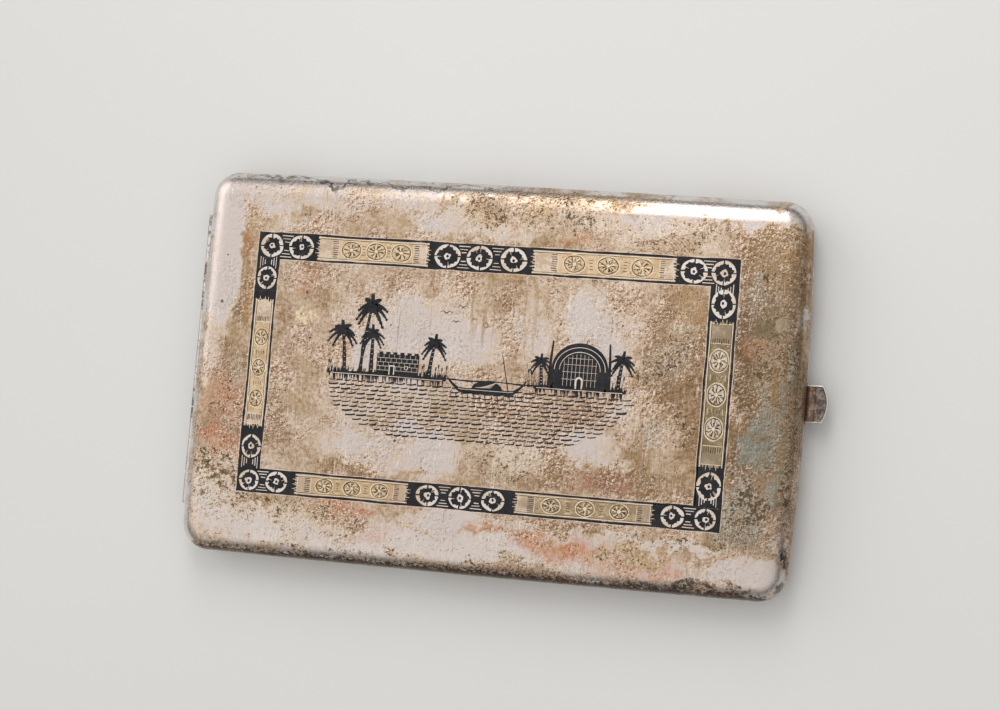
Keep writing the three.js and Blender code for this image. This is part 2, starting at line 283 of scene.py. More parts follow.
# Colours of the metal and its tarnish, and of the shade and highlights painted on it
CLEAN_SILVER = srgb(200, 188, 182)
RUBBED_SILVER = srgb(222, 220, 217)
BEIGE_FILM = srgb(199, 179, 161)
TAN_FILM = srgb(181, 155, 132)
OCHRE_FILM = srgb(142, 113, 80)
DARK_FILM = srgb(98, 72, 44)
DARK_SPECK = srgb(66, 40, 18)
BROWN_SPECK = srgb(112, 72, 36)
GREY_SPECK = srgb(64, 61, 60)
LINE_BROWN = srgb(104, 72, 44)
BROWN_FLECK_AND_SHADE = srgb(112, 84, 60)
PINK_FILM = srgb(186, 144, 116)
OLIVE_FILM = srgb(156, 136, 94)
TEAL_FILM = srgb(142, 153, 146)
ROSE_FILM = srgb(184, 120, 84)
GOLD_FILM = srgb(172, 132, 76)
PURPLE_FILM = srgb(158, 116, 94)
DARK_SHADE_AND_REFLECTION = srgb(58, 52, 50)
PALE_TONE_AND_HIGHLIGHT = srgb(236, 224, 208)
SPECK_HIGHLIGHT_CREAM = srgb(218, 202, 176)
LOWER_EDGE_SHADE_BROWN = srgb(56, 36, 22)
GILT_WARM = srgb(210, 168, 98)
GILT_MIDDLE = srgb(216, 182, 120)
GILT_WORN = srgb(214, 200, 174)
GILT_BROWNED = srgb(158, 116, 64)

# Where the lid's film is thin, thick or coloured: centre, radii and strength
CLEAN_PLACES = (
    (-58.6, 22, 4, 18, 1.35), (42, 36.6, 19, 2.6, 1.15), (-32, 34.6, 22, 2.8, 0.55),
    (26, 34, 20, 2.6, 0.35), (-14, -34.6, 44, 3, 1), (-59.8, 4, 2.4, 9, 0.9), (-10, 30.6, 7.6, 4, 1),
    (2, 29.6, 6, 2.6, 0.8), (-40, 36.4, 20, 1.3, 0.55), (-30, 38.6, 36, 1.8, 1.1),
    (-12, 8.5, 13, 7.6, 0.72), (-21, 2, 8, 9, 0.5), (-19, -16, 14, 5.2, 0.85), (-12, -18.6, 6, 2.6, 0.85),
    (19, 13.5, 4.6, 7, 0.8), (24, 7, 6, 6, 0.7), (8, 9, 4, 6, 0.55), (38.5, 11.5, 3.4, 3.6, 0.75),
    (30, 12.5, 4, 2.4, 0.5), (22, -13.2, 8, 4.4, 1), (31, -5, 5, 5, 0.6), (-30, -7, 6, 4, 0.4),
    (-6, -29.2, 10, 1.9, 0.9), (12, -29.8, 11, 1.3, 0.85), (26, -30.4, 6, 1.4, 1),
    (42, -29.9, 13, 1.2, 0.9), (55, -34.6, 6.4, 2.8, 1.2), (42, -35.4, 14, 2, 0.6),
    (62, -27, 1.5, 6, 0.8), (63.2, 14, 0.9, 18, 0.6), (-57, -28, 5, 6, 0.45), (-45, -33, 12, 3.4, 0.7),
    (38, -11, 6, 5, 0.3), (8, -13.5, 7, 4, 0.4),
)
THICK_PLACES = (
    (57, 26, 8, 9, 1.5), (55, 13.5, 7, 8, 1.9), (57, 3, 8, 9, 2), (56, -8, 6.8, 8, 1.35),
    (55.5, -18, 6.8, 8, 1.35), (54, -26, 6, 4.6, 0.95), (62.6, -8, 2.2, 18, 1.2),
    (42.5, 14, 3.6, 8.4, 0.95), (38.5, 8, 7.6, 15, 0.6), (36, 4, 6, 3.2, 0.8), (40.5, 1, 4.6, 5, 0.8),
    (43, -8, 2.6, 12, 0.8), (36, -12, 9, 11, 0.4), (26.5, -19.4, 7, 2.6, 0.5), (12, -20.4, 10, 1.6, 0.4),
    (-54, -6, 6, 10, 0.4), (-56, -17, 5, 8, 0.5), (-52.8, 16, 1.4, 12, 0.35), (-52, 28, 2.4, 6, 0.25),
    (-3, 33, 5, 3, 0.2), (8, 34, 7, 3.4, 0.15), (16, 38.4, 16, 0.9, 0.5), (-41, 16, 5, 5, 0.2),
    (-43, -13, 3, 4, 0.35), (-25, -21.2, 10, 1, 0.35), (16, -28.2, 3.4, 0.9, 0.5),
    (-46.5, -28.8, 3.4, 1.5, 0.8), (14, 20, 18, 4, 0.1),
)
SPECKLED_PLACES = (
    (-3, 33, 7, 4.2, 1), (-11, 33.4, 4, 2.4, 0.6), (14, 33.5, 13, 4.6, 0.85), (34, 30.5, 11, 3.6, 0.75),
    (6, 37.8, 21, 1.8, 0.9), (-28, 38.6, 32, 1.3, 0.5), (-41, 17, 4.6, 5, 0.45), (-51, 31, 4.6, 4, 0.5),
    (-54, -8, 6, 10, 0.6), (-55, -26, 6.6, 10, 1.05), (-40, -32, 18, 5, 0.85), (-10, -35.6, 46, 3, 0.7),
    (-22, -37.8, 36, 1.1, 1), (4, -16.6, 9, 4.6, 0.9), (13, -12.6, 3, 3, 0.9), (36, -11, 5, 6, 0.65),
    (37, 7, 6, 5, 0.75), (41, 16, 4, 5, 0.45), (55, -22, 6, 9, 1), (57.5, -17.5, 2.4, 2.4, 1.1),
    (40, -29.6, 15, 2, 0.9), (30, -33, 7, 2.4, 0.8), (62.6, -9, 1.8, 18, 0.9), (58, 8, 5, 10, 0.9),
    (56, 24, 6, 10, 0.55), (20, 20, 12, 1.6, 0.5),
)
CRUSTED_PLACES = (
    (56, -22, 5, 6.6, 1), (46, -28.8, 11, 1.4, 0.8), (62.4, -14, 1.4, 9, 0.9), (58, 5, 4.4, 6, 0.8),
    (57, 20, 4, 6, 0.5), (34, 4.6, 5, 3.6, 0.7), (42, -5, 2, 6, 0.6), (-61.4, -24, 1.6, 4, 1),
    (-57, -26, 4, 7, 0.95), (-46, -31, 8, 2.6, 0.7), (-34, -38, 24, 1.2, 0.8),
    (-46.4, -28.6, 2.4, 1.2, 0.9), (5, -18, 6, 2.6, 0.55), (-4, 33.4, 5, 3, 0.55),
    (22, 35, 10, 2.4, 0.45), (31, -33.4, 5, 1.2, 0.5), (-57, -8, 3, 6, 0.4),
)
TEAL_PLACES = (
    (55, -8, 3.4, 4.4, 0.8), (56.6, -1, 1.6, 4, 0.6), (59.6, -12, 1.5, 9, 0.9), (60.9, 3.6, 1, 6.6, 1),
    (52.6, 21, 1.4, 3, 0.4), (53.2, -22.5, 3.4, 6, 0.8), (57.6, -26, 2.6, 3.6, 0.7),
    (35, -9.6, 2.4, 3.4, 0.35), (40, 11, 2.2, 2.2, 0.25), (-53.4, 17, 0.6, 10, 0.3),
)
ROSE_PLACES = (
    (-28, -28.4, 6, 1.3, 1.1), (-54.5, -16.4, 4, 2.4, 1), (-56, -8, 3.6, 6, 0.6),
    (-52.6, 24, 1, 4.4, 0.6), (3, -31, 7, 0.9, 0.6), (17, -32.2, 9, 2.6, 0.8), (34, -35.4, 9, 1.6, 0.6),
    (53.4, 10.6, 1.8, 3.4, 0.5), (17, 28.6, 3.4, 1, 0.5), (-41, 17, 3, 3, 0.35),
    (-22, -33.5, 5, 1.4, 0.4),
)
GOLD_PLACES = (
    (-4, 32.6, 4, 2.6, 0.55), (7.6, 34.4, 4, 2, 0.6), (18, 37.6, 12, 1, 0.55), (-52, 30.6, 2, 3.4, 0.45),
    (-51.6, 12, 0.9, 7, 0.55), (-45.8, -28.6, 2.6, 1.2, 0.8), (-33, -31, 4, 2.2, 0.35),
    (32, -32.8, 6.4, 2.2, 0.6), (13, -30.8, 5, 1, 0.35), (57, 26, 7, 9, 0.45), (58, 2, 6, 16, 0.35),
    (41, 14, 4, 8, 0.3),
)
PURPLE_PLACES = (
    (26, -19.8, 6.4, 2.4, 0.9), (-52.6, 22, 0.7, 4, 0.5), (55, 13.6, 3, 3.2, 0.6),
)
# Painted shade along the lid's lower long edge and near its lower right corner, and a painted dark reflection
# along its upper long edge
DARK_SHADE_AND_REFLECTION_PLACES = (
    (42, -38.4, 18, 0.9, 1), (62.2, -31.4, 0.8, 2.6, 1.1), (61.2, -35.4, 0.9, 0.9, 0.8),
    (-42, 38.8, 20, 0.45, 0.9), (-8, 39, 18, 0.35, 0.8),
)
KEPT_EDGES = (
    (-5, -40, 62, 3.4, 0.9), (64, -8, 3.2, 24, 0.6),
)
STREAKED_PLACES = (
    (-52.8, 16, 2, 12, 0.6), (60.6, -2, 2.6, 20, 0.6), (34, -13, 7, 8, 0.4), (-2, 15, 4, 7, 0.5),
    (8, 14, 5, 7, 0.3),
)
HANDLED_PLACES = (
    (57.5, 4, 7, 20, 0.34), (57, -22, 6, 9, 0.3),
)

# Single dark pits: a place and a radius each
DOTS = (
    (-18.2, -14.1, 0.3), (-24.2, -18, 0.24), (-34.2, -19.6, 0.22), (-58.2, 12, 0.34), (-57.9, 21.8, 0.2),
    (-21.2, 9.4, 0.18), (14.2, 12, 0.26), (-12.2, -19.2, 0.2), (-40.6, 10.5, 0.2), (51, -15.2, 0.28),
    (-28.3, -18.6, 0.18), (26.8, 12.4, 0.18), (-50.6, 19.8, 0.2), (33, -25, 0.2), (-33, 13.6, 0.2),
)


def tarnished_silver(name, marked):
    """Old silver under a broken brown film, with listed marks on the lid and noise elsewhere."""
    g = Graph(name)
    ragged = g.shaken(((11.0, 1.5), (3.0, 0.8), (0.9, 0.4)))
    mottle = g.noise(3.0, 7.0, 0.66, shift=15.0)
    grain = g.noise(0.8, 4.0, 0.7, shift=5.0)
    dust = g.noise(0.36, 1.5, 0.6, shift=80.0)

    # Handling has rubbed the rolled edges, and left less of the film there
    rubbed = abs(g.axis("Z") - SEAM * MM).rise((SEAM - 0.3) * MM, (SEAM - 1.5) * MM)
    patches = g.noise(6.0, 6.0, 0.66, shift=44.0).rise(0.62, 0.42, 0.15, 1.0)
    if marked:
        patches = patches * (1.0 - g.spots(ragged, KEPT_EDGES, 0.3))
    rubbed = rubbed * patches

    cloud = g.noise(7.0, 4.0, 0.55, shift=52.0)
    film = g.noise(22.0, 5.0, 0.55, shift=3.0).fused(1.3, -0.1) + cloud.swing(0.5)
    if marked:
        film = film + g.spots(ragged, THICK_PLACES, 0.4) * 0.6
        film = film - g.spots(ragged, CLEAN_PLACES, 0.26) * 0.56
        specked = g.spots(ragged, SPECKLED_PLACES, 0.4)
        crusted = g.spots(ragged, CRUSTED_PLACES, 0.4)
    else:
        film = film.fused(1.35, -0.2) + g.axis("Y").rise(-37.6 * MM, -39.8 * MM, 0.0, 0.4)
        specked = g.noise(16.0, 5.0, 0.6, shift=70.0).rise(0.42, 0.62)
        crusted = g.noise(12.0, 5.0, 0.6, shift=90.0).rise(0.54, 0.66)
    film = rubbed.fused(-0.6, film)
    texture = mottle.swing(0.5) + grain.swing(0.85)
    film = texture.fused(film.rise(-0.05, 0.5, 0.3, 1.0), film)

    g.colour = g.mix(rubbed, CLEAN_SILVER, RUBBED_SILVER)
    g.paint(film.rise(0.0, 0.32), BEIGE_FILM)
    g.paint(film.rise(0.3, 0.66), TAN_FILM)

    # The film drifts from pinkish to olive over a few millimetres
    hue = g.noise(9.0, 6.0, 0.62, shift=27.0)
    filmed = film.rise(0.1, 0.7)
    g.paint(hue.rise(0.52, 0.68, 0.0, 0.6) * filmed, PINK_FILM)
    g.paint(hue.rise(0.5, 0.34, 0.0, 0.5) * filmed, OLIVE_FILM)
    g.paint(film.rise(0.62, 1.0), OCHRE_FILM)
    g.paint(film.rise(1.0, 1.5), DARK_FILM)
    if marked:
        broken = (mottle + grain.swing(0.12)).rise(0.36, 0.56, 0.42, 1.0)
        # The dark tint last in this list paints shade and a dark reflection on the lid's long edges
        tints = ((ROSE_PLACES, ROSE_FILM), (GOLD_PLACES, GOLD_FILM), (PURPLE_PLACES, PURPLE_FILM),
                 (TEAL_PLACES, TEAL_FILM), (DARK_SHADE_AND_REFLECTION_PLACES, DARK_SHADE_AND_REFLECTION))
        for places, tint in tints:
            g.paint(g.spots(ragged, places, 0.45) * broken, tint)

    # Fine light and dark grain, with the painted light and shade of a fine relief lit from one side, stronger
    # where the film is thick, and smooth in some places
    depth = film.rise(-0.1, 0.6, 0.7, 2.6) * hue.rise(0.4, 0.6, 0.35, 1.4)
    # A copy of the grain set a little aside and taken away gives painted light on one side of each ridge and
    # painted shade on the other
    relief_light_and_shade = grain - g.noise(0.8, 4.0, 0.7, shift=5.11)
    grain_and_relief_light = relief_light_and_shade.fused(2.9, dust.swing(0.4)) * depth
    g.paint(grain_and_relief_light * 0.5, PALE_TONE_AND_HIGHLIGHT)
    g.paint(grain_and_relief_light * -1.0, BROWN_FLECK_AND_SHADE)

    # Thin dark lines that wander through the film, and straight hairline scratches
    crawl = abs(g.noise(1.5, 4.0, 0.6, shift=61.0) - 0.5)
    lines = crawl.rise(0.02, 0.004) * film.rise(0.25, 0.8)
    lines = lines * g.noise(6.0, 3.0, 0.5, shift=33.0).rise(0.4, 0.54)
    g.paint(lines * 0.8, LINE_BROWN)
    tones = ((8.0, LINE_BROWN), (-34.0, PALE_TONE_AND_HIGHLIGHT), (71.0, PALE_TONE_AND_HIGHLIGHT))
    g.hairlines(tones, 1.0, 0.045, (0.012, 0.002), 9.0, 0.6, 0.4)

    # Dark specks, close together where the film is rough, each with a painted highlight beside it, as if lit
    # from one side
    drift = filmed.fused(-0.045, mottle.rise(0.38, 0.62, 0.035, -0.03))
    g.paint(specked * 0.13, PALE_TONE_AND_HIGHLIGHT)
    darks = []
    for size, detail, places, base in ((0.5, 4.0, specked, 0.71), (1.2, 7.0, crusted, 0.715)):
        limit = places.fused(-0.155, base) + drift
        bright = g.noise(size, detail, 0.66, shift=9.0 + 0.3 * size) - limit
        g.paint(bright.rise(-0.02, 0.03) * places.rise(0.1, 0.8) * 0.4, SPECK_HIGHLIGHT_CREAM)
        darks.append((g.noise(size, detail, 0.66, shift=9.0) - limit).rise(0.0, 0.05))
    speck = g.math("MAXIMUM", *darks) * film.rise(-0.2, 0.4, 0.5, 1.0)
    tone = g.mix(mottle.rise(0.4, 0.6), BROWN_SPECK, DARK_SPECK)
    g.paint(speck * 0.85, g.mix(rubbed, tone, GREY_SPECK))

    pit = g.cells(7.0).rise(0.036, 0.018)
    if marked:
        dots = [(x, y, radius, radius, 1.0) for x, y, radius in DOTS]
        pit = g.math("MAXIMUM", pit, g.spots(g.shaken(((0.5, 0.05),)), dots, 0.3))
        lid_marks(g, ragged)
    g.paint(pit * 0.75, DARK_SPECK)

    roughness = speck.fused(0.15, rubbed.fused(-0.08, film.rise(0.0, 1.0, 0.28, 0.46)))
    dents = g.bump(g.noise(24.0, 2.0, 0.4, shift=3.0), 0.5, 0.3)
    sunk = g.noise(0.5, 2.0, 0.66, shift=9.0).rise(0.54, 0.64, 0.0, -0.7)
    relief = g.bump(dust.fused(0.5, texture) + sunk, 0.022, 0.7, under=dents)
    return g.finish(roughness, film.rise(0.1, 1.2, 0.96, 0.84), relief)


def lid_marks(g, ragged):
    """Marks on the lid alone: a pale drop, a ring, a finger's print, and painted shade along the lower long
    edge.
    """
    drop = g.shaken(((1.4, 0.12),))
    g.paint(g.away(ragged, 55.6, 13.9, 2.7, 2.5).rise(1.4, 0.4, 0.0, 0.7), srgb(104, 94, 68))
    g.paint(g.away(drop, 58.4, 14.8, 1.25, 1.2).rise(1.15, 0.9, 0.0, 0.75), srgb(174, 164, 138))
    ring = abs(g.away(drop, -1.3, 10.7, 0.42, 0.42) - 1.0)
    g.paint(ring.rise(0.42, 0.2, 0.0, 0.8), srgb(140, 92, 50))

    ridges = g.math("SINE", g.away(drop, 30.0, 23.6, 1.0, 0.8) * (2 * pi / PRINT_PITCH))
    inside = g.away(ragged, 33.6, 28.6, 5.6, 2.6).rise(1.2, 0.8, 0.0, 0.6)
    g.paint(ridges.rise(-0.1, 0.8) * inside, srgb(132, 98, 62))

    crust = g.away(ragged, -39.6, 10.2, 2.2, 1.7).rise(1.25, 0.8, 0.0, 0.8)
    g.paint(crust * g.noise(0.6, 3.0, 0.6, shift=41.0).rise(0.47, 0.56), srgb(226, 206, 168))
    streaky = g.noise(1.0, 3.0, 0.6, place=g.stretch((1.1, 0.07, 1.0)), shift=2.0)
    g.paint(streaky.rise(0.5, 0.6) * g.spots(ragged, STREAKED_PLACES, 0.3), srgb(146, 116, 74))
    g.paint(g.spots(ragged, HANDLED_PLACES, 0.4), srgb(92, 74, 50))

    # Painted shade along the lower long edge: a dark brown band on the outer part of the roll, broken by
    # noise, and a near-black line at the outermost edge
    low = g.axis("Y") + g.noise(0.7, 5.0, 0.7, shift=21.0).swing(2.6 * MM)
    side = g.axis("Z").rise((SEAM + 1.2) * MM, (SEAM + 3.4) * MM)
    torn = g.noise(3.0, 6.0, 0.68, shift=71.0).rise(0.47, 0.63, 0.0, 0.85)
    g.paint(low.rise(-38.1 * MM, -39.3 * MM, 0.0, 0.95) * g.math("MAXIMUM", side, torn), LOWER_EDGE_SHADE_BROWN)
    g.paint(low.rise(-38.9 * MM, -39.7 * MM, 0.0, 0.75) * side, DARK_SHADE_AND_REFLECTION)


def rubbed_metal(name, colour, dull, rough=0.3, metallic=1.0, size=1.6, spread=1.0):
    """Handled metal: bright where it is rubbed, with a darker film in cloudy patches."""
    g = Graph(name)
    cloudy = g.noise(size * 3, 5.0, 0.65)
    grain = g.noise(size * 0.3, 4.0, 0.6, shift=8.0)
    film = cloudy.rise(0.42, 0.62) + grain.swing(1.2 * spread)
    g.colour = g.mix(film.rise(-0.1, 1.1), colour, dull)
    return g.finish(film.rise(0.0, 1.0, rough, rough + 0.2), metallic, g.bump(grain + cloudy, 0.03, 0.5))


def niello_black():
    """Fused black niello, faintly blue, with pinholes and wear that lets a little silver through."""
    g = Graph("niello")
    cloudy = g.noise(2.4, 5.0, 0.6)
    fine = g.noise(0.35, 3.0, 0.6, shift=12.0)
    g.colour = g.mix(cloudy.rise(0.38, 0.62), srgb(15, 15, 18), srgb(32, 32, 37))
    g.paint(fine.rise(0.6, 0.68) * cloudy.rise(0.5, 0.64, 0.0, 0.7), srgb(104, 92, 80))
    roughness = cloudy.rise(0.35, 0.65, 0.4, 0.58)
    return g.finish(roughness, 0.2, g.bump(fine, 0.02, 0.5), Specular_IOR_Level=0.3)


def panel_metal(name, pale, tan, olive):
    """Metal of the engraved panels, paler along the top and brown or olive down the right side."""
    g = Graph(name)
    cloudy = g.noise(2.6, 6.0, 0.66)
    grain = g.noise(0.5, 4.0, 0.66, shift=6.0)
    tone = cloudy.rise(0.4, 0.6) + grain.swing(1.5)
    right = g.spots(g.place, ((46.9, 0.0, 4.0, 17.0, 1.0), (24.0, -24.6, 15.0, 3.0, 0.6)), 0.1)
    low = g.spots(g.place, ((-26.0, -24.6, 14.0, 3.0, 1.0),), 0.1)
    g.colour = g.mix(tone.rise(-0.2, 1.2), pale, tan)
    g.paint(low * 0.6, tan)
    g.paint(right * tone.rise(-0.8, 1.0, 0.55, 1.0), olive)
    return g.finish(cloudy.rise(0.35, 0.65, 0.34, 0.5), 0.88, g.bump(grain, 0.04, 0.7))


def tab_metal():
    """The thumb piece: brown over its ridge, a dark speckled pad beyond it, and a bright worn rim."""
    g = Graph("tab_metal")
    cloudy = g.noise(1.6, 5.0, 0.66)
    grain = g.noise(0.35, 4.0, 0.7, shift=8.0)
    film = cloudy.rise(0.4, 0.6) + grain.swing(1.6)
    dulled = film.rise(-0.2, 1.2)
    grey = g.mix(dulled, srgb(132, 123, 116), srgb(78, 66, 58))
    brown = g.mix(dulled, srgb(142, 122, 106), srgb(98, 74, 58))
    pad = g.axis("X").rise((TAB_STEP - 0.1) * MM, (TAB_STEP + 0.1) * MM)
    g.colour = g.mix(pad, brown, grey)
    speck = g.noise(0.5, 4.0, 0.7, shift=31.0).rise(0.55, 0.63, 0.0, 0.8)
    g.paint(speck * pad.rise(0.0, 1.0, 0.4, 1.0), DARK_SPECK)
    aside = abs(g.axis("Y"))
    bowed = aside * aside * (TAB_BOW / (TAB_WIDTH / 2) ** 2 / MM)
    inside = (CASE_LENGTH / 2 + TAB_REACH) * MM - (g.axis("X") + bowed)
    inside = g.math("MINIMUM", inside, TAB_WIDTH / 2 * MM - aside)
    rim = inside.rise(RIM_WIDTH * MM, RIM_SLOPE * MM) * cloudy.rise(0.3, 0.5, 0.3, 0.9)
    g.paint(rim, srgb(214, 211, 207))
    return g.finish(film.rise(0.0, 1.0, 0.28, 0.48), 0.92, g.bump(grain + cloudy, 0.04, 0.6))


def gilt_inside():
    """The gilt wash inside: pale where cigarettes rubbed it, brown along the walls and in specks."""
    g = Graph("gilt_inside")
    texture = g.noise(3.4, 6.0, 0.68, shift=4.0).swing(0.45) + g.noise(0.6, 4.0, 0.7, shift=9.0).swing(0.3)

    # Cigarettes lay side by side across the case, and each rubbed a faint bar
    swayed = g.noise(14.0, 2.0, 0.5, shift=6.0).fused(6 * MM, g.axis("X"))
    bars = g.math("COSINE", swayed * (2 * pi / (CIGARETTE_PITCH * MM)))
    worn = g.noise(18.0, 6.0, 0.62).swing(2.4) + bars.fused(0.07, texture)
    g.colour = g.mix(worn.rise(-0.7, 0.1), GILT_WARM, GILT_MIDDLE)
    g.paint(worn.rise(0.1, 0.9, 0.0, 0.85), GILT_WORN)

    # The film gathers along the walls and the corners
    inside = g.math("MINIMUM", WALL_Y * MM - abs(g.axis("Y")), WALL_X * MM - abs(g.axis("X")))
    film = inside.rise(7 * MM, 0.0, 0.0, 0.7) + texture.fused(0.8, -0.2)
    g.paint(film.rise(0.1, 0.9, 0.0, 0.85), GILT_BROWNED)
    spotted = g.noise(1.3, 6.0, 0.66, shift=17.0) - film.rise(0.0, 0.8, 0.0, 0.08)
    g.paint(spotted.rise(0.68, 0.64, 1.0, 0.0) * 0.75, BROWN_SPECK)
    tones = ((3.0, GILT_WORN), (-24.0, GILT_WORN), (64.0, GILT_BROWNED))
    g.hairlines(tones, 1.2, 0.04, (0.014, 0.003), 11.0, 0.62, 0.5)
    dents = g.bump(g.noise(16.0, 2.0, 0.4, shift=3.0), 0.3, 0.3)
    return g.finish(film.rise(-0.3, 0.8, 0.4, 0.56), 0.97, g.bump(texture, 0.02, 0.6, under=dents))


def woven_elastic():
    """Ribbed elastic webbing: cords along it and a fine weave across."""
    g = Graph("woven_elastic")
    across = g.math("SINE", g.axis("Y") * (2 * pi / (CORD_PITCH * MM)))
    weave = across * g.math("SINE", g.axis("X") * (2 * pi / (WEAVE_PITCH * MM)))
    aged = g.noise(7.0, 5.0, 0.6).rise(0.35, 0.7)
    g.colour = srgb(70, 52, 30)
    g.paint(weave.rise(-0.9, 0.6), g.mix(aged, srgb(146, 118, 66), srgb(112, 86, 48)))
    return g.finish(0.85, 0.0, g.bump(weave + across, 0.06, 0.8), Sheen_Weight=0.3)


def pale_floor():
    g = Graph("pale_floor")
    g.colour = g.mix(g.noise(160.0, 3.0, 0.5), srgb(212, 211, 209), srgb(206, 205, 203))
    return g.finish(0.7)


LID_METAL = tarnished_silver("lid_silver", marked=True)
BASE_METAL = tarnished_silver("base_silver", marked=False)
GILT_WASH = gilt_inside()
BRIGHT_SILVER = rubbed_metal("engraved_silver", srgb(216, 206, 196), srgb(196, 178, 158), 0.3, 0.88, 1.6, 0.6)
PANEL_SILVER = panel_metal("panel_silver", srgb(206, 188, 170), srgb(182, 158, 136), srgb(138, 122, 100))
BURR_SILVER = rubbed_metal("burr_silver", srgb(212, 199, 188), srgb(196, 176, 154), 0.3, 0.88)
BARREL_SILVER = rubbed_metal("barrel_silver", srgb(196, 190, 184), srgb(120, 106, 92), 0.28)
TAB_METAL = tab_metal()
NIELLO = niello_black()
GILT = panel_metal("gilt_field", srgb(204, 180, 148), srgb(182, 154, 120), srgb(120, 104, 78))
PALE_ROSETTE = rubbed_metal("pale_rosette", srgb(196, 184, 172), srgb(150, 128, 104), 0.34, 0.88, 1.2)
CUT_BROWN = rubbed_metal("cut_brown", srgb(88, 64, 42), srgb(58, 42, 28), 0.5, 0.5, 0.8)
CUT_LIGHT = rubbed_metal("cut_light", srgb(224, 208, 180), srgb(202, 184, 156), 0.3, 0.88, 0.8)
SCRATCH_BROWN = rubbed_metal("scratch_brown", srgb(126, 98, 68), srgb(150, 122, 92), 0.5, 0.6, 0.8)
SPRING_BRASS = rubbed_metal("spring_brass", srgb(190, 150, 92), srgb(138, 104, 62), 0.28)
INNER_GILT = rubbed_metal("inner_gilt", srgb(206, 174, 120), srgb(152, 116, 70), 0.34)


def add_object(name, data):
    made = bpy.data.objects.new(name, data)
    bpy.context.scene.collection.objects.link(made)
    return made


def mesh_object(name, points, faces, materials=(), indices=None, merged=True):
    """A mesh object from millimetre points, with its faces turned outwards."""
    mesh = bpy.data.meshes.new(name)
    mesh.from_pydata([Vector(point) * MM for point in points], [], faces)
    for material in materials:
        mesh.materials.append(material)
    if indices:
        mesh.polygons.foreach_set("material_index", indices)
    work = bmesh.new()
    work.from_mesh(mesh)
    if merged:
        bmesh.ops.remove_doubles(work, verts=work.verts, dist=0.002 * MM)
    bmesh.ops.recalc_face_normals(work, faces=work.faces)
    work.to_mesh(mesh)
    work.free()
    return add_object(name, mesh)


def shade_smooth(piece, sharp):
    """Smooth shading, broken at edges sharper than an angle in degrees."""
    piece.data.polygons.foreach_set("use_smooth", [True] * len(piece.data.polygons))
    piece.data.set_sharp_from_angle(angle=radians(sharp))
    piece.data.update()


def cut(piece, cutter):
    """Cut one object's shape out of another and delete the cutter."""
    modifier = piece.modifiers.new("cut", "BOOLEAN")
    modifier.operation = "DIFFERENCE"
    modifier.solver = "EXACT"
    modifier.object = cutter
    result = bpy.data.meshes.new_from_object(piece.evaluated_get(bpy.context.evaluated_depsgraph_get()))
    piece.modifiers.clear()
    piece.data = result
    bpy.data.objects.remove(cutter)


def bridge(first, second, count, closed=True):
    """Faces between two rows of count points each, given by the number of their first points."""
    after = [(index + 1) % count for index in range(count if closed else count - 1)]
    return [(first + i, first + j, second + j, second + i) for i, j in enumerate(after)]


def lofted_faces(rings, count):
    """Faces over rings of count points each, with both ends closed."""
    faces = [tuple(range(count)), tuple(range((rings - 1) * count, rings * count))]
    for ring in range(rings - 1):
        faces += bridge(ring * count, (ring + 1) * count, count)
    return faces


def around(centre, radius_u, radius_v, angle):
    """The place at an angle on an ellipse."""
    return (centre[0] + radius_u * cos(angle), centre[1] + radius_v * sin(angle))


def box_solid(low, high):
    corners = [(x, y, z) for x in (low[0], high[0]) for y in (low[1], high[1]) for z in (low[2], high[2])]
    faces = [(0, 1, 3, 2), (4, 6, 7, 5), (0, 4, 5, 1), (2, 3, 7, 6), (0, 2, 6, 4), (1, 5, 7, 3)]
    return mesh_object("cutter", corners, faces)


def rod_solid(radius, length, x, z, sides=48):
    """A rod along Y."""
    circle_points = [around((x, z), radius, radius, 2 * pi * step / sides) for step in range(sides)]
    vertices = [(u, end, v) for end in (-length / 2, length / 2) for u, v in circle_points]
    return mesh_object("cutter", vertices, lofted_faces(2, sides))


CORNER_STEPS = 14
SIDE_STEPS = 26
ROLL_STEPS = 16


def plan_outline(inset):
    """The case's outline moved in by an inset, as points that match from ring to ring."""
    radius = max(CORNER_RADIUS - inset, 0.05)
    length = CASE_LENGTH / 2 - inset - radius
    width = CASE_WIDTH / 2 - inset - radius
    corners = [(length, width), (-length, width), (-length, -width), (length, -width)]
    points = []
    for corner, (cx, cy) in enumerate(corners):
        for step in range(CORNER_STEPS + 1):
            points.append(around((cx, cy), radius, radius, (corner + step / CORNER_STEPS) * pi / 2))
        last_x, last_y = points[-1]
        next_x, next_y = corners[(corner + 1) % 4]
        for step in range(1, SIDE_STEPS):
            share = step / SIDE_STEPS
            points.append((last_x + (next_x - cx) * share, last_y + (next_y - cy) * share))
    bowed = []
    for x, y in points:
        along = 2 * x / CASE_LENGTH
        across = 2 * y / CASE_WIDTH
        bow = FRONT_BOW if x > 0 else HINGE_BOW
        bowed.append((x - bow * along * across**2, y - SIDE_BOW * across * along**2))
    return bowed


def dent(x, y, z):
    """How far years of handling have pushed the rolled edge in at a point."""
    soft = noise.noise(Vector((x * 0.07, y * 0.07, z * 0.2)))
    small = noise.noise(Vector((x * 0.25 + 7, y * 0.25, z * 0.3)))
    return 0.07 * soft + 0.025 * small


def tray_profile():
    """Rows of inset, height and whether gilt starts there: from the ceiling, round the rim, to the face."""
    turns = [step / ROLL_STEPS * pi / 2 for step in range(ROLL_STEPS + 1)]
    profile = []
    for angle in reversed(turns):
        inset = SHEET + (ROLL_WIDTH - SHEET) * (1 - cos(angle))
        profile.append((inset, RIM_HEIGHT + (ROLL_HEIGHT - SHEET) * sin(angle), 1))
    for step in range(7):
        angle = step / 6 * pi
        inset = SHEET / 2 + cos(angle) * (SHEET / 2)
        profile.append((inset, RIM_ROUND * (1 - sin(angle)), int(step < 3)))
    for angle in turns:
        profile.append((ROLL_WIDTH * (1 - cos(angle)), RIM_HEIGHT + ROLL_HEIGHT * sin(angle), 0))
    return profile


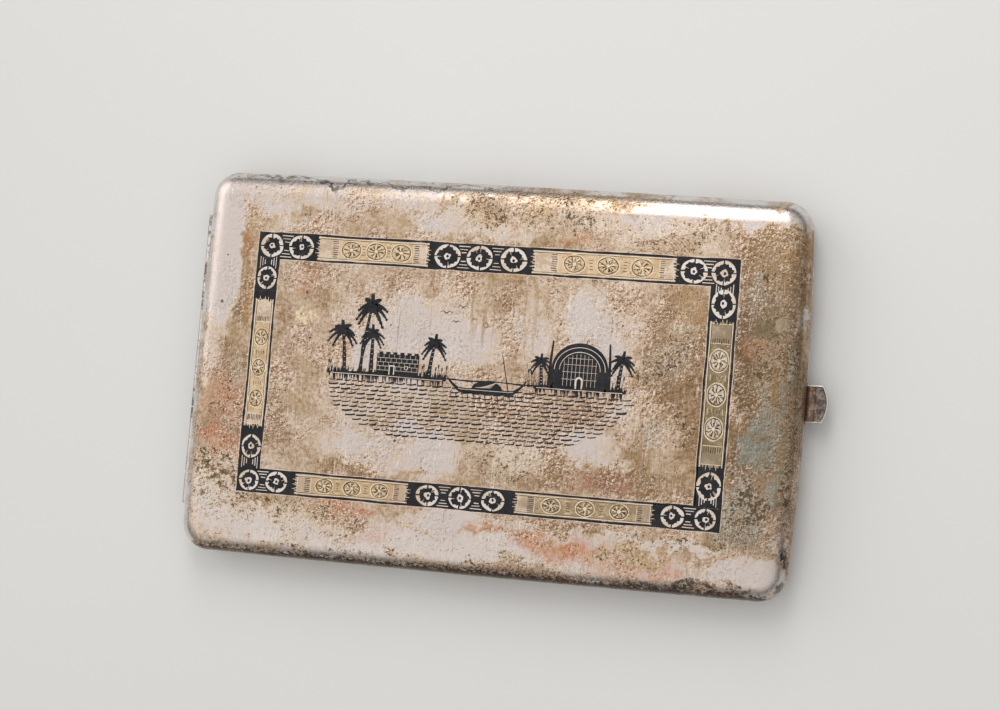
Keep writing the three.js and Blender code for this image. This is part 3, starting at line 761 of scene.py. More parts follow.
def tray(name, flipped, outer_metal, body):
    """One half of the case, open at the seam."""
    profile = tray_profile()
    count = len(plan_outline(0.0))
    outer_start = ROLL_STEPS + 8
    vertices, faces, indices = [], [], []
    for ring, (inset, height, gilt) in enumerate(profile):
        for x, y in plan_outline(inset):
            drop = dent(x, y, height) if ring > outer_start and inset < DENT_LIMIT else 0.0
            vertices.append((x, y, height - abs(drop) * min(1.0, inset / DENT_FADE)))
        if ring < len(profile) - 1:
            faces += bridge(ring * count, (ring + 1) * count, count)
            indices += [gilt] * count

    # Flat rings inside each cap keep the shading of the flat face clean
    for last, (inset, height, gilt) in ((0, profile[0]), ((len(profile) - 1) * count, profile[-1])):
        for more in CAP_RINGS:
            fresh = len(vertices)
            scale_x = 1 - more / (CASE_LENGTH / 2 - ROLL_WIDTH)
            scale_y = 1 - more / (CASE_WIDTH / 2 - ROLL_WIDTH)
            vertices += [(x * scale_x, y * scale_y, height) for x, y in plan_outline(inset)]
            faces += bridge(last, fresh, count)
            last = fresh
        faces.append(tuple(range(last, last + count)))
        indices += [gilt] * (2 * count + 1)
    if flipped:
        vertices = [(x, -y, SHELL_HEIGHT - z) for x, y, z in vertices]
    else:
        vertices = [(x, y, SEAM + SEAM_GAP / 2 + z) for x, y, z in vertices]
    piece = mesh_object(name, vertices, faces, [outer_metal, GILT_WASH], indices)
    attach(piece, body)
    cut(piece, rod_solid(CHANNEL_RADIUS, CHANNEL_LENGTH, HINGE_X, SEAM))
    return piece


def make_shells():
    lid = tray("lid_tray", False, LID_METAL, "lid")
    shade_smooth(lid, 40.0)
    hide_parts("lid_shell")
    base = tray("base_tray", True, BASE_METAL, "base")
    half = CASE_LENGTH / 2
    cut(base, box_solid((half - 2, -SLOT_HALF, SHELL_HEIGHT - SLOT_DEPTH), (half + 1, SLOT_HALF, SEAM + 1)))
    shade_smooth(base, 40.0)
    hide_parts("base_shell")


def make_barrel():
    """Hinge tubes with rounded ends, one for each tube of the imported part."""
    sides = 40
    turns = [2 * pi * step / sides for step in range(sides)]
    for prefix, count, body in (("base_knuckle", 5, "base"), ("lid_knuckle", 4, "lid")):
        for number in range(1, count + 1):
            node = f"{prefix}_{number}"
            low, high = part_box(node)
            start, end = low[1] / MM, high[1] / MM
            profile = [(KNUCKLE_BORE, start), (KNUCKLE_RADIUS - KNUCKLE_ROUND, start)]
            for step in range(1, 4):
                angle = step / 3 * pi / 2
                radius = KNUCKLE_RADIUS - KNUCKLE_ROUND * (1 - sin(angle))
                profile.append((radius, start + KNUCKLE_ROUND * (1 - cos(angle))))
            profile += [(KNUCKLE_RADIUS, start + 3 * KNUCKLE_ROUND), (KNUCKLE_RADIUS, (start + end) / 2)]
            profile += [(radius, start + end - y) for radius, y in reversed(profile[:-1])]
            vertices = []
            for radius, y in profile:
                ring = [around((HINGE_X, SEAM), radius, radius, angle) for angle in turns]
                vertices += [(x, y, z) for x, z in ring]
            rings = len(profile)
            faces = []
            for ring in range(rings):
                faces += bridge(ring * sides, (ring + 1) % rings * sides, sides)
            tube = mesh_object(f"barrel_{node}", vertices, faces, [BARREL_SILVER])
            shade_smooth(tube, 50.0)
            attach(tube, body)
            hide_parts(node)


# The niello frame, measured from its own centre: U runs along the case and V across it
FRAME_X = -0.75
OUTER_LEFT, OUTER_RIGHT = -50.3, 50.0
OUTER_TOP, OUTER_BOTTOM = 26.9, -26.8
INNER_LEFT, INNER_RIGHT = -45.9, 44.8
INNER_TOP, INNER_BOTTOM = 21.7, -22.3
LINE_HALF = 0.22
CORNER_ROUNDEL = 46
FIELD_INSET = 0.34

# Points of an outline nearer than this are one point
NEAR = 0.004

# Heights of the layers over the face, thin enough to read as flush
GROUND = 0.012
FIELD = 0.024
FLOWER = 0.036
CENTRE = 0.048


class Inlay:
    """Thin closed plates let into the lid's face at one height, gathered into one mesh."""

    DEPTH = 0.12
    LIFT = 0.0005

    def __init__(self, height, name, material, slot):
        self.height = height
        self.name = name
        self.material = material
        self.slot = slot
        self.vertices = []
        self.faces = []
        self.plates = 0

    def level(self, height):
        """A height of its own for each plate, so that plates that cross don't share a plane."""
        self.plates += 1
        return (height or self.height) + self.LIFT * (self.plates % 17)

    def plate(self, points):
        """A flat plate with the outline given on the face."""
        outline = clean_outline(points)
        if len(outline) < 3:
            return
        count = len(outline)
        start = len(self.vertices)
        for level in (self.level(None), -self.DEPTH):
            self.vertices += [(u, v, level) for u, v in outline]
        flat = [Vector((u, v, 0.0)) for u, v in outline]
        for corners in geometry.tessellate_polygon([flat]):
            self.faces.append(tuple(start + corner for corner in corners))
            self.faces.append(tuple(start + count + corner for corner in reversed(corners)))
        self.faces += bridge(start, start + count, count)

    def strip(self, left, right, closed=False, height=None):
        """A plate between two matching rows of points."""
        count = len(left)
        rows = [len(self.vertices) + count * row for row in range(4)]
        for level in (self.level(height), -self.DEPTH):
            self.vertices += [(u, v, level) for u, v in left + right]
        for first, second in ((0, 1), (2, 3), (0, 2), (1, 3)):
            self.faces += bridge(rows[first], rows[second], count, closed)
        for end in () if closed else (0, count - 1):
            self.faces.append(tuple(rows[row] + end for row in (0, 1, 3, 2)))

    def stroke(self, points, width, taper=(1.0, 1.0), shake=0.0, seed=0, height=None):
        """A graver's stroke along a line, its width tapering and shaking a little."""
        left, right = [], []
        last = len(points) - 1
        for index, (u, v) in enumerate(points):
            before = points[max(index - 1, 0)]
            after = points[min(index + 1, last)]
            run = Vector((after[0] - before[0], after[1] - before[1])).normalized()
            share = index / last
            half = width / 2 * (taper[0] * (1 - share) + taper[1] * share)
            half *= 1 + shake * noise.noise(Vector((u * 0.9, v * 0.9, seed)))
            left.append((u - run.y * half, v + run.x * half))
            right.append((u + run.y * half, v - run.x * half))
        self.strip(left, right, height=height)

    def make(self):
        """Set the plates on the lid's face, in the niello frame's place."""
        points = [(u + FRAME_X, v, CASE_HEIGHT + z) for u, v, z in self.vertices]
        piece = mesh_object(self.name, points, self.faces, [self.material], merged=False)
        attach(piece, "lid")
        return piece


def clean_outline(points):
    """The outline without doubled points."""
    kept = []
    for point in points:
        if not kept or dist(point, kept[-1]) > NEAR:
            kept.append(point)
    if len(kept) > 1 and dist(kept[0], kept[-1]) <= NEAR:
        kept.pop()
    return kept


# The frame's plates, the picture's ink and the silver lights cut back into it, and the face's scratches
black = Inlay(GROUND, "niello_ground", NIELLO, "niello")
silver = Inlay(FIELD, "roundel_discs", BRIGHT_SILVER, "silver")
flowers = Inlay(FLOWER, "niello_flowers", NIELLO, "niello")
eyes = Inlay(CENTRE, "roundel_eyes", BRIGHT_SILVER, "silver")
panels = Inlay(GROUND, "border_panels", PANEL_SILVER, "silver")
gilding = Inlay(FIELD, "gilt_fields", GILT, "gilt")
brown_cuts = Inlay(FLOWER, "engraved_shade", CUT_BROWN, "gilt")
light_cuts = Inlay(FLOWER, "engraved_lights", CUT_LIGHT, "gilt")
burrs = Inlay(GROUND / 2, "graver_burr", BURR_SILVER, "silver")
flowers_pale = Inlay(FIELD + 0.004, "pale_rosettes", PALE_ROSETTE, "silver")
ink = Inlay(GROUND, "niello_scene", NIELLO, "niello")
lights = Inlay(FIELD, "scene_lines", BRIGHT_SILVER, "silver")
scratches = Inlay(GROUND / 3, "face_scratches", SCRATCH_BROWN, "silver")


def circle(centre, radius_u, radius_v, count, wobble=0.0, seed=0):
    """Points round an ellipse, with a hand's unevenness."""
    points = []
    for step in range(count):
        angle = 2 * pi * step / count
        scale = 1 + wobble * noise.noise(Vector((cos(angle) * 1.5, sin(angle) * 1.5, seed)))
        points.append(around(centre, radius_u * scale, radius_v * scale, angle))
    return points


def line(start, end, steps=8, wander=0.0, seed=0):
    """Points from start to end that wander sideways a little."""
    along = Vector((end[0] - start[0], end[1] - start[1]))
    across = Vector((-along.y, along.x)).normalized()
    points = []
    for share in (step / steps for step in range(steps + 1)):
        aside = wander * noise.noise(Vector((share * along.length * 0.18, seed * 3.7, 0.5)))
        u, v = start[0] + along.x * share, start[1] + along.y * share
        points.append((u + across.x * aside, v + across.y * aside))
    return points


def rectangle(left, bottom, width, height):
    right, top = left + width, bottom + height
    return [(left, bottom), (right, bottom), (right, top), (left, top)]


def roundel(centre, radius_u, radius_v, seed):
    """A silver ring quartered by black spokes round a ragged black flower with a silver eye."""
    draw = random.Random(seed)

    def spot(reach, angle):
        return around(centre, radius_u * reach, radius_v * reach, angle)

    silver.plate(circle(centre, radius_u, radius_v, 40, 0.06, seed))
    lobes = draw.choice((4, 5, 5, 6))
    turn = draw.uniform(0, pi)
    size = draw.uniform(0.71, 0.79)
    teeth = 27
    outline = []
    for tooth in range(teeth):
        angle = 2 * pi * (tooth + draw.uniform(-0.25, 0.25)) / teeth
        notch = (0.05 if tooth % 2 else -0.05) * draw.uniform(0.4, 1.6)
        outline.append(spot(size + 0.06 * cos(lobes * (angle + turn)) + notch, angle))
    flowers.plate(outline)
    for quarter in range(4):
        angle = quarter * pi / 2 + draw.uniform(-0.06, 0.06)
        flowers.stroke([spot(0.5, angle), spot(1.04, angle)], draw.uniform(0.22, 0.34))
    for _ in range(draw.choice((2, 3, 4))):
        angle = draw.uniform(0, 2 * pi)
        eyes.stroke([spot(0.45, angle), spot(0.86, angle)], 0.1, (0.3, 1.6))
    eye = (centre[0] + draw.uniform(-0.15, 0.15), centre[1] + draw.uniform(-0.12, 0.12))
    size = draw.uniform(0.56, 0.72)
    hole = (eye[0] + draw.uniform(-0.12, 0.12), eye[1] + draw.uniform(-0.12, 0.12))
    outer_ring = circle(eye, size, size * draw.uniform(0.9, 1.1), 20, 0.5, seed)
    eyes.strip(outer_ring, circle(hole, size * 0.4, size * 0.44, 20, 0.3, seed + 3), closed=True)


def band_place(along_row, middle):
    """Turns a place along and across a band into a place on the face."""
    if along_row:
        return lambda s, t: (s, middle + t)
    return lambda s, t: (middle - t, s)


def dashes(place, centre, half, seed):
    """Short silver strokes in the black between two roundels, longer towards the band's edges."""
    draw = random.Random(seed)
    for share in (-0.84, -0.6, -0.34, 0.34, 0.6, 0.84):
        reach = 0.25 + 1.25 * abs(share) ** 1.5
        s = centre + draw.uniform(-0.1, 0.1)
        t = share * half
        points = [place(s - reach, t), place(s + reach, t + draw.uniform(-0.05, 0.05))]
        silver.stroke(points, draw.uniform(0.12, 0.2))


def comb(place, edge, half, outward, seed):
    """The ragged end of a black block: short black teeth, and silver cuts between them."""
    draw = random.Random(seed)
    teeth = 7
    for tooth in range(teeth):
        t = half * (-0.86 + 1.72 * tooth / (teeth - 1))
        points = [place(edge - 0.2 * outward, t), place(edge + draw.uniform(0.15, 0.6) * outward, t)]
        flowers.stroke(points, draw.uniform(0.26, 0.5), (1.2, 0.6))
    for nick in range(3):
        t = half * (-0.5 + 0.5 * nick) + draw.uniform(-0.15, 0.15)
        points = [place(edge + 0.15 * outward, t), place(edge - draw.uniform(0.35, 0.6) * outward, t)]
        light_cuts.stroke(points, 0.13, (1.2, 0.4), height=CENTRE)


# Strokes of a rosette's petal: where each starts and ends, how far it turns aside, its plates and its width
PETAL_STROKES = (
    (0.16, 0.62, 0.0, brown_cuts, 0.26), (0.34, 0.78, 0.24, light_cuts, 0.19),
    (0.46, 0.8, -0.22, brown_cuts, 0.17), (0.24, 0.56, 0.4, light_cuts, 0.12),
)


def rosette(place, centre, radius, half, seed, pale=False):
    """An engraved flower in two rings, with short graver's strokes for petals."""
    draw = random.Random(seed)
    across = half * 0.97

    def ring(scale, wobble_seed):
        points = circle((0, 0), radius * scale, across * scale, 30, 0.07, wobble_seed)
        return [place(centre + u, v) for u, v in points]

    if pale:
        flowers_pale.plate(ring(0.92, seed))
    for target, scale, width, further in ((light_cuts, 0.98, 0.2, 0), (brown_cuts, 0.86, 0.17, 1)):
        points = ring(scale, seed + further)
        target.stroke(points + points[:1], width, shake=0.9, seed=seed)
    petals = draw.choice((7, 8, 9))
    for petal in range(petals):
        angle = 2 * pi * (petal + draw.uniform(-0.2, 0.2)) / petals
        for inner, outer, aside, target, width in PETAL_STROKES:
            turned = angle + aside + draw.uniform(-0.08, 0.08)
            ends = (inner, outer * draw.uniform(0.8, 1.08))
            points = [place(*around((centre, 0), radius * reach, across * reach, turned)) for reach in ends]
            target.stroke(points, width * draw.uniform(0.7, 1.4), (0.5, 1.2))
    light_cuts.plate([place(centre + u, v) for u, v in circle((0, 0), 0.4, 0.36, 9, 0.6, seed)])


def hatch(place, start, end, half, target, count, seed):
    """Short strokes side by side along the band."""
    draw = random.Random(seed)
    for number in range(count):
        t = half * (-0.8 + 1.6 * number / (count - 1))
        shift = draw.uniform(-0.12, 0.12)
        points = [place(start + shift, t), place(end + shift, t + draw.uniform(-0.06, 0.06))]
        target.stroke(points, draw.uniform(0.16, 0.26), (draw.uniform(0.5, 1), draw.uniform(0.5, 1)))


def gilt_panel(place, start, end, half, ends, seed, pale=False):
    """A silver panel with a gilt engraved field of three rosettes between plain ends."""
    draw = random.Random(seed)
    inner = half - FIELD_INSET
    field_start = start + ends[0]
    field_end = end - ends[1]
    for target, low, high, reach in ((panels, start, end, half), (gilding, field_start, field_end, inner)):
        target.plate([place(low, -reach), place(high, -reach), place(high, reach), place(low, reach)])
    hatch(place, field_start - 1.3, field_start - 0.15, inner, brown_cuts, 8, seed + 1)
    hatch(place, field_end + 0.15, field_end + 1.1, inner, brown_cuts, 8, seed + 2)
    for edge in (field_start, field_end, start + 0.5, end - 0.5):
        light_cuts.stroke(line(place(edge, -inner), place(edge, inner), 4, 0.15, seed), 0.13)
    for side in (-1, 1):
        points = line(place(start + 0.4, side * inner), place(end - 0.4, side * inner), 16, 0.1, seed)
        brown_cuts.stroke(points, 0.1, shake=0.9, seed=seed)
        t = side * (half - 0.14)
        points = line(place(start + 0.2, t), place(end - 0.2, t), 16, 0.08, seed)
        light_cuts.stroke(points, 0.16, shake=0.8, seed=seed)
    count = 3
    pitch = (field_end - field_start) / count
    for number in range(count):
        centre = field_start + pitch * (number + 0.5)
        rosette(place, centre, min(pitch * 0.43, inner * 1.2), inner, seed * 7 + number, pale)
        border = field_start + pitch * number
        for t in (-0.75, -0.45, -0.15, 0.15, 0.45, 0.75) if number else ():
            reach = 0.2 + 0.55 * abs(t)
            end_t = t * inner + draw.uniform(-0.08, 0.08)
            target = brown_cuts if abs(t) < 0.5 else light_cuts
            target.stroke([place(border - reach, t * inner), place(border + reach, end_t)], 0.12)
    for _ in range(int((field_end - field_start) * 3.4)):
        s = draw.uniform(field_start + 0.3, field_end - 0.3)
        t = draw.uniform(-0.92, 0.92) * inner
        angle = draw.uniform(-0.8, 0.8)
        reach = draw.uniform(0.15, 0.5)
        points = [place(s, t), place(*around((s, t), reach, reach, angle))]
        draw.choice((brown_cuts, light_cuts)).stroke(points, 0.09, (0.5, 1.2))


def block(place, start, end, half, seed):
    """A black block that fills the band, its sides a little uneven."""
    lower = line(place(start, -half), place(end, -half), 12, 0.12, seed)
    upper = line(place(end, half), place(start, half), 12, 0.12, seed + 1)
    black.plate(lower + upper)


# Each side of the frame: whether it is a row, its two edges, and along it the ends of its black blocks,
# the middles of its roundels, and the ends of its gilt panels with the plain lengths at either end
SIDES = (
    (True, INNER_TOP, OUTER_TOP, ((OUTER_LEFT, -37.6), (-13.8, 8.0), (37.4, OUTER_RIGHT)),
     (-47.6, -41.2, -9.8, -3.0, 4.1, 41.0, 47.0), ((-37.6, -13.8, 4.6, 3.2), (8.0, 37.4, 5.2, 3.4))),
    (True, OUTER_BOTTOM, INNER_BOTTOM, ((OUTER_LEFT, -37.9), (-13.8, 8.6), (36.6, OUTER_RIGHT)),
     (-47.9, -41.9, -9.6, -2.8, 4.1, 40.6, 47.2), ((-37.9, -13.8, 3.4, 3.0), (8.6, 36.6, 4.0, 3.2))),
    (False, OUTER_LEFT, INNER_LEFT, ((-22.3, -13.4), (13.1, 21.7)),
     (-17.6, 17.5), ((-13.4, 13.1, 2.6, 4.8),)),
    (False, INNER_RIGHT, OUTER_RIGHT, ((-22.3, -14.3), (14.6, 21.7)),
     (-18.1, 18.1), ((-14.3, 14.6, 4.2, 4.4),)),
)


def make_border():
    seed = 11
    for row, edge, other_edge, blocks, roundels, gilt_panels in SIDES:
        middle = (edge + other_edge) / 2
        half = (other_edge - edge) / 2
        place = band_place(row, middle)
        seed += 17
        for number, (start, end) in enumerate(blocks):
            block(place, start, end, half, seed + number)
            inner = half - 2 * LINE_HALF
            if start > (OUTER_LEFT if row else INNER_BOTTOM):
                comb(place, start, inner, -1, seed + number)
            if end < (OUTER_RIGHT if row else INNER_TOP):
                comb(place, end, inner, 1, seed + number + 5)
        for number, centre in enumerate(roundels):
            across = half * 0.94
            corner = row and abs(centre) > CORNER_ROUNDEL
            along = across * (1.0 if corner else 1.12 if row else 1.16)
            roundel(place(centre, 0.0), *((along, across) if row else (across, along)), seed * 3 + number)
            following = roundels[number + 1] if number + 1 < len(roundels) else inf
            if following - centre < 9:
                dashes(place, (centre + following) / 2, half, seed + number)
        for number, (start, end, *ends) in enumerate(gilt_panels):
            pale = other_edge == OUTER_RIGHT
            gilt_panel(place, start, end, half - 1.2 * LINE_HALF, ends, seed + 40 + number, pale)
    for middle in ((OUTER_LEFT + INNER_LEFT) / 2, (OUTER_RIGHT + INNER_RIGHT) / 2):
        for sign in (1, -1):
            dashes(band_place(False, middle), sign * 20.8, 2.0, 7 + int(middle) * sign)
    frame_lines()


def frame_lines():
    """The black lines round the band, and the faint burr that the graver threw up beside them."""
    outer = rectangle(OUTER_LEFT, OUTER_BOTTOM, OUTER_RIGHT - OUTER_LEFT, OUTER_TOP - OUTER_BOTTOM)
    inner = rectangle(INNER_LEFT, INNER_BOTTOM, INNER_RIGHT - INNER_LEFT, INNER_TOP - INNER_BOTTOM)
    for corners, width, away in ((outer, 0.46, 1), (inner, 0.4, -1)):
        for index in range(4):
            start, end = corners[index], corners[(index + 1) % 4]
            points = line(start, end, 70, 0.14, index + width)
            black.stroke(points, width, shake=0.7, seed=index)
            for nib in (start, end):
                black.plate(circle(nib, width / 2, width / 2, 10))
            run = Vector((end[0] - start[0], end[1] - start[1])).normalized() * away * (width / 2 + 0.1)
            burrs.stroke([(u + run.y, v - run.x) for u, v in points], 0.1, shake=1.6, seed=index + 9)


def palm(foot, height, lean, crown, seed):
    """A date palm: a ringed trunk and a head of arching fronds with dark feathered edges."""
    draw = random.Random(seed)
    trunk = [(foot[0] + lean * (step / 8) ** 1.6, foot[1] + height * step / 8) for step in range(9)]
    ink.stroke(trunk, 0.66, (1.4, 0.8), 0.5, seed)
    for u, v in trunk[1:8]:
        lights.stroke([(u - 0.1, v), (u + 0.2, v + 0.1)], 0.08)
    head = trunk[-1]
    ink.plate(circle(head, 0.4 * crown, 0.34 * crown, 14, 0.5, seed))
    fronds = 9
    for frond in range(fronds):
        angle = radians(-38 + 256 * frond / (fronds - 1)) + draw.uniform(-0.12, 0.12)
        reach = crown * draw.uniform(0.88, 1.1)
        spine = []
        for share in (step / 6 for step in range(7)):
            u, v = around(head, reach * share, reach * share, angle)
            spine.append((u, v - 0.5 * crown * share**2 * (0.35 + abs(cos(angle)))))
        ink.stroke(spine, 0.34 * crown, (1.2, 0.3), 0.3, frond)
        for step, (u, v) in enumerate(spine[1:], 1):
            length = 0.3 * crown * (1.15 - 0.11 * step)
            for way in (-1, 1):
                aside = way * length * 0.66 * abs(sin(angle)) + 0.3 * length * cos(angle)
                ink.stroke([(u, v), (u + aside, v - length * 0.8)], 0.2 * crown, (1.2, 0.15))


def arch_points(centre, radius_u, radius_v, steps):
    return [around(centre, radius_u, radius_v, pi * step / steps) for step in range(steps + 1)]


def reed_hall(centre_u, ground, half, height):
    """A reed hall seen from its end: an arch with ribs, a lattice front and two tapering columns."""
    arch = arch_points((centre_u, ground + height * 0.42), half, height * 0.58, 28)
    ink.plate([(centre_u + half, ground)] + arch + [(centre_u - half, ground)])
    for scale in (0.9, 0.72):
        points = arch_points((centre_u, ground + height * 0.4), half * scale, height * 0.56 * scale, 24)
        lights.stroke(points, 0.13, shake=0.4, seed=scale)
    inner = half * 0.62
    for number in range(-4, 5):
        u = centre_u + inner * number / 4.4
        top = ground + height * 0.4 + height * 0.36 * sqrt(1 - (number / 4.8) ** 2)
        lights.stroke([(u, ground + 0.5), (u, top)], 0.07)
    for level in (0.2, 0.36, 0.52, 0.66):
        reach = inner * sqrt(max(0.1, 1 - max(0.0, level - 0.4) ** 2 * 9))
        v = ground + height * level
        lights.stroke([(centre_u - reach, v), (centre_u + reach, v)], 0.07)
    door = [(centre_u - 0.75, ground), (centre_u + 0.75, ground), (centre_u + 0.75, ground + 1.7)]
    door += arch_points((centre_u, ground + 1.7), 0.75, 0.7, 8) + [(centre_u - 0.75, ground + 1.7)]
    lights.plate(door)
    flowers.plate([(centre_u + (u - centre_u) * 0.62, ground + (v - ground) * 0.84) for u, v in door])
    for way in (-1, 1):
        foot = centre_u + way * (half + 0.35)
        rows = ((0.0, 0.0), (0.1, 0.62), (0.35, 1.02))
        ink.stroke([(foot - way * aside, ground + height * up) for aside, up in rows], 0.62, (1.2, 0.55))


def mud_house(left, ground, width, height):
    """A flat-roofed house with courses of brick, a door and a stepped parapet."""
    right = left + width
    top = ground + height
    outline = [(left, ground), (right, ground), (right, top)]
    steps = 6
    for number in range(steps, 0, -1):
        high = left + width * (number - 0.15) / steps
        low = left + width * (number - 0.75) / steps
        outline += [(high, top), (high, top + 0.42), (low, top + 0.42), (low, top)]
    ink.plate(outline + [(left, top)])
    rows = 5
    for row in range(1, rows):
        v = ground + height * row / rows
        lights.stroke([(left + 0.15, v), (right - 0.15, v)], 0.07, shake=0.6, seed=row)
        for brick in range(8):
            u = left + width * (brick + 0.3 + 0.4 * (row % 2)) / 8
            lights.stroke([(u, v), (u, v + height / rows)], 0.06)
    door = left + width * 0.3
    lights.plate(rectangle(door, ground, 1.2, 1.9))
    flowers.plate(rectangle(door + 0.22, ground, 0.76, 1.66))
    window = left + width * 0.66
    lights.plate(rectangle(window, ground + 1.2, 0.8, 0.7))
    flowers.plate(rectangle(window + 0.16, ground + 1.3, 0.48, 0.48))


def canoe(centre_u, water, half):
    """A long slim canoe with high curved ends, loaded with cut reeds, and a pole across it."""
    keel, rail = [], []
    steps = 24
    for step in range(steps + 1):
        share = 2 * step / steps - 1
        lift = 2.7 * max(0.0, abs(share) - 0.62) ** 1.35 * 3.2
        u = centre_u + half * share * (1 - 0.06 * max(0.0, abs(share) - 0.7))
        depth = 1.05 * sqrt(max(0.0, 1 - share**2)) + 0.12
        rail.append((u, water + 0.35 + lift))
        keel.append((u, water + 0.35 + lift - depth))
    ink.strip(rail, keel)
    lights.stroke([(u, v - 0.3) for u, v in rail[4:-4]], 0.1, shake=0.4, seed=3)
    load = arch_points((centre_u + 0.2, water + 0.3), 3.2, 1.7, 14)
    ink.plate([(centre_u + 3.4, water + 0.3)] + load + [(centre_u - 3.0, water + 0.3)])
    for number in range(7):
        start = (centre_u - 2.2 + number * 0.25, water + 0.55 + number * 0.02)
        end = (centre_u + 2.2 - (6 - number) * 0.2, water + 0.678 + number * 0.194)
        lights.stroke([start, end], 0.07)
    ink.stroke([(centre_u + 5.0, water - 1.2), (centre_u + 2.9, water + 7.6)], 0.2, (1.2, 0.7))
    for number in range(13):
        share = number / 12 * 2 - 1
        reach = 0.9 + 1.6 * (1 - share**2)
        u = centre_u + half * 0.86 * share
        points = line((u, water - 0.9), (u + 0.5, water - 0.9 - reach), 3, 0.2, number)
        ink.stroke(points, 0.16, (1.2, 0.3))


def reeds(start_u, end_u, ground, count, tallest, seed):
    """Bulrushes along a bank: leaning blades, some with a dark head."""
    draw = random.Random(seed)
    for number in range(count):
        u = start_u + (end_u - start_u) * (number + draw.uniform(0.1, 0.9)) / count
        height = tallest * draw.uniform(0.4, 1.0)
        lean = draw.uniform(-0.5, 0.5) * height * 0.35
        tip = (u + lean, ground + height)
        ink.stroke([(u, ground - 0.2), (u + lean * 0.3, ground + height * 0.55), tip], 0.17, (1.3, 0.4))
        if height > tallest * 0.72:
            ink.stroke([tip, (tip[0] + lean * 0.15, tip[1] + 0.75)], 0.36, (0.8, 0.7))


def bank(start_u, end_u, level, seed):
    """A ragged shore: a dark mound with tufts over it and broken shade under it."""
    draw = random.Random(seed)
    length = end_u - start_u
    steps = 50
    top = []
    for share in (step / steps for step in range(steps + 1)):
        rough = noise.noise(Vector((share * 9 + seed, seed, 0.0)))
        swell = sin(pi * share) ** 0.5
        top.append((start_u + length * share, level + 0.1 + (0.5 + 0.5 * rough) * swell))
    ink.strip(top, line((start_u, level - 0.3), (end_u, level - 0.3), steps, 0.3, seed + 2))
    for _ in range(int(length * 2.6)):
        u = draw.uniform(start_u, end_u)
        points = [(u, level), (u + draw.uniform(-0.35, 0.35), level + draw.uniform(0.7, 1.5))]
        ink.stroke(points, 0.44, (1.2, 0.2))
    for _ in range(int(length * 3.2)):
        u = draw.uniform(start_u + 0.3, end_u - 0.5)
        points = [(u, level - 0.15), (u + 0.1, level - 0.15 - draw.uniform(0.6, 1.8))]
        ink.stroke(points, 0.3, (1.2, 0.25))
    edge = line((start_u + 0.6, level - 0.12), (end_u - 0.6, level - 0.12), 30, 0.12, seed + 4)
    lights.stroke(edge, 0.12, shake=0.8, seed=seed)


def water_rows(left, right, top, bottom):
    """Rows of short wavy strokes that narrow to a lens at the foot of the picture."""
    draw = random.Random(77)
    rows = 13
    for row in range(rows):
        share = row / (rows - 1)
        v = top + (bottom - top) * share
        squeeze = 1 - 0.42 * share**2.4
        middle = (left + right) / 2 + 1.2 * sin(row * 1.7)
        u = middle + (left - middle) * squeeze + draw.uniform(-0.6, 0.6)
        stop = middle + (right - middle) * squeeze + draw.uniform(-0.6, 0.6)
        while u < stop:
            length = draw.uniform(1.1, 2.3)
            sag = draw.uniform(0.06, 0.16)
            wave = [(u + length * step / 5, v - sag * sin(pi * step / 5) + 0.04 * step) for step in range(6)]
            ink.stroke(wave, draw.uniform(0.3, 0.46), (draw.uniform(0.5, 0.9), draw.uniform(0.5, 1.1)))
            u += length + draw.uniform(0.15, 0.42)


def birds():
    for u, v, span in ((-9.0, 12.6, 1.5), (-5.6, 14.0, 1.2), (-6.8, 10.9, 1.0)):
        for way in (-1, 1):
            points = [(u, v), (u + way * span * 0.45, v + span * 0.34), (u + way * span, v + span * 0.08)]
            ink.stroke(points, 0.2, (1.2, 0.3))


HORIZON = -1.0

# Palms on the banks: place, height, lean, crown and seed; and tufts of reeds: ends, count, height and seed
PALMS = (
    (-26.2, 14.0, 1.4, 3.3, 21), (-29.6, 8.8, -0.9, 2.8, 22), (-11.6, 7.2, 0.8, 2.6, 23),
    (-23.9, 8.4, -0.2, 2.4, 26), (27.6, 6.4, 0.6, 2.4, 24), (11.9, 5.2, -0.4, 2.1, 25),
)
REEDS = (
    (8.6, 12.2, 9, 3.2, 31), (25.6, 29.2, 9, 2.8, 32), (-33.4, -30.4, 7, 2.4, 33), (-13.5, -7.6, 12, 2.4, 34),
)


def make_picture():
    """A river bank with palms, a flat-roofed house, a reed hall and a loaded canoe."""
    bank(-33.0, -8.0, HORIZON, 5)
    bank(10.4, 29.2, HORIZON, 9)
    far_bank = line((-9.5, HORIZON + 0.25), (11.5, HORIZON + 0.25), 30, 0.25, 4)
    ink.stroke(far_bank, 0.3, shake=0.7, seed=4)
    mud_house(-22.8, HORIZON + 0.3, 9.0, 4.2)
    for u, height, lean, crown, seed in PALMS[:4]:
        palm((u, HORIZON), height, lean, crown, seed)
    reed_hall(19.6, HORIZON + 0.2, 5.8, 9.2)
    for u, height, lean, crown, seed in PALMS[4:]:
        palm((u, HORIZON), height, lean, crown, seed)
    for start, end, count, tallest, seed in REEDS:
        reeds(start, end, HORIZON, count, tallest, seed)
    canoe(0.6, HORIZON - 1.6, 8.6)
    birds()
    water_rows(-33.0, 28.8, HORIZON - 1.5, HORIZON - 12.0)
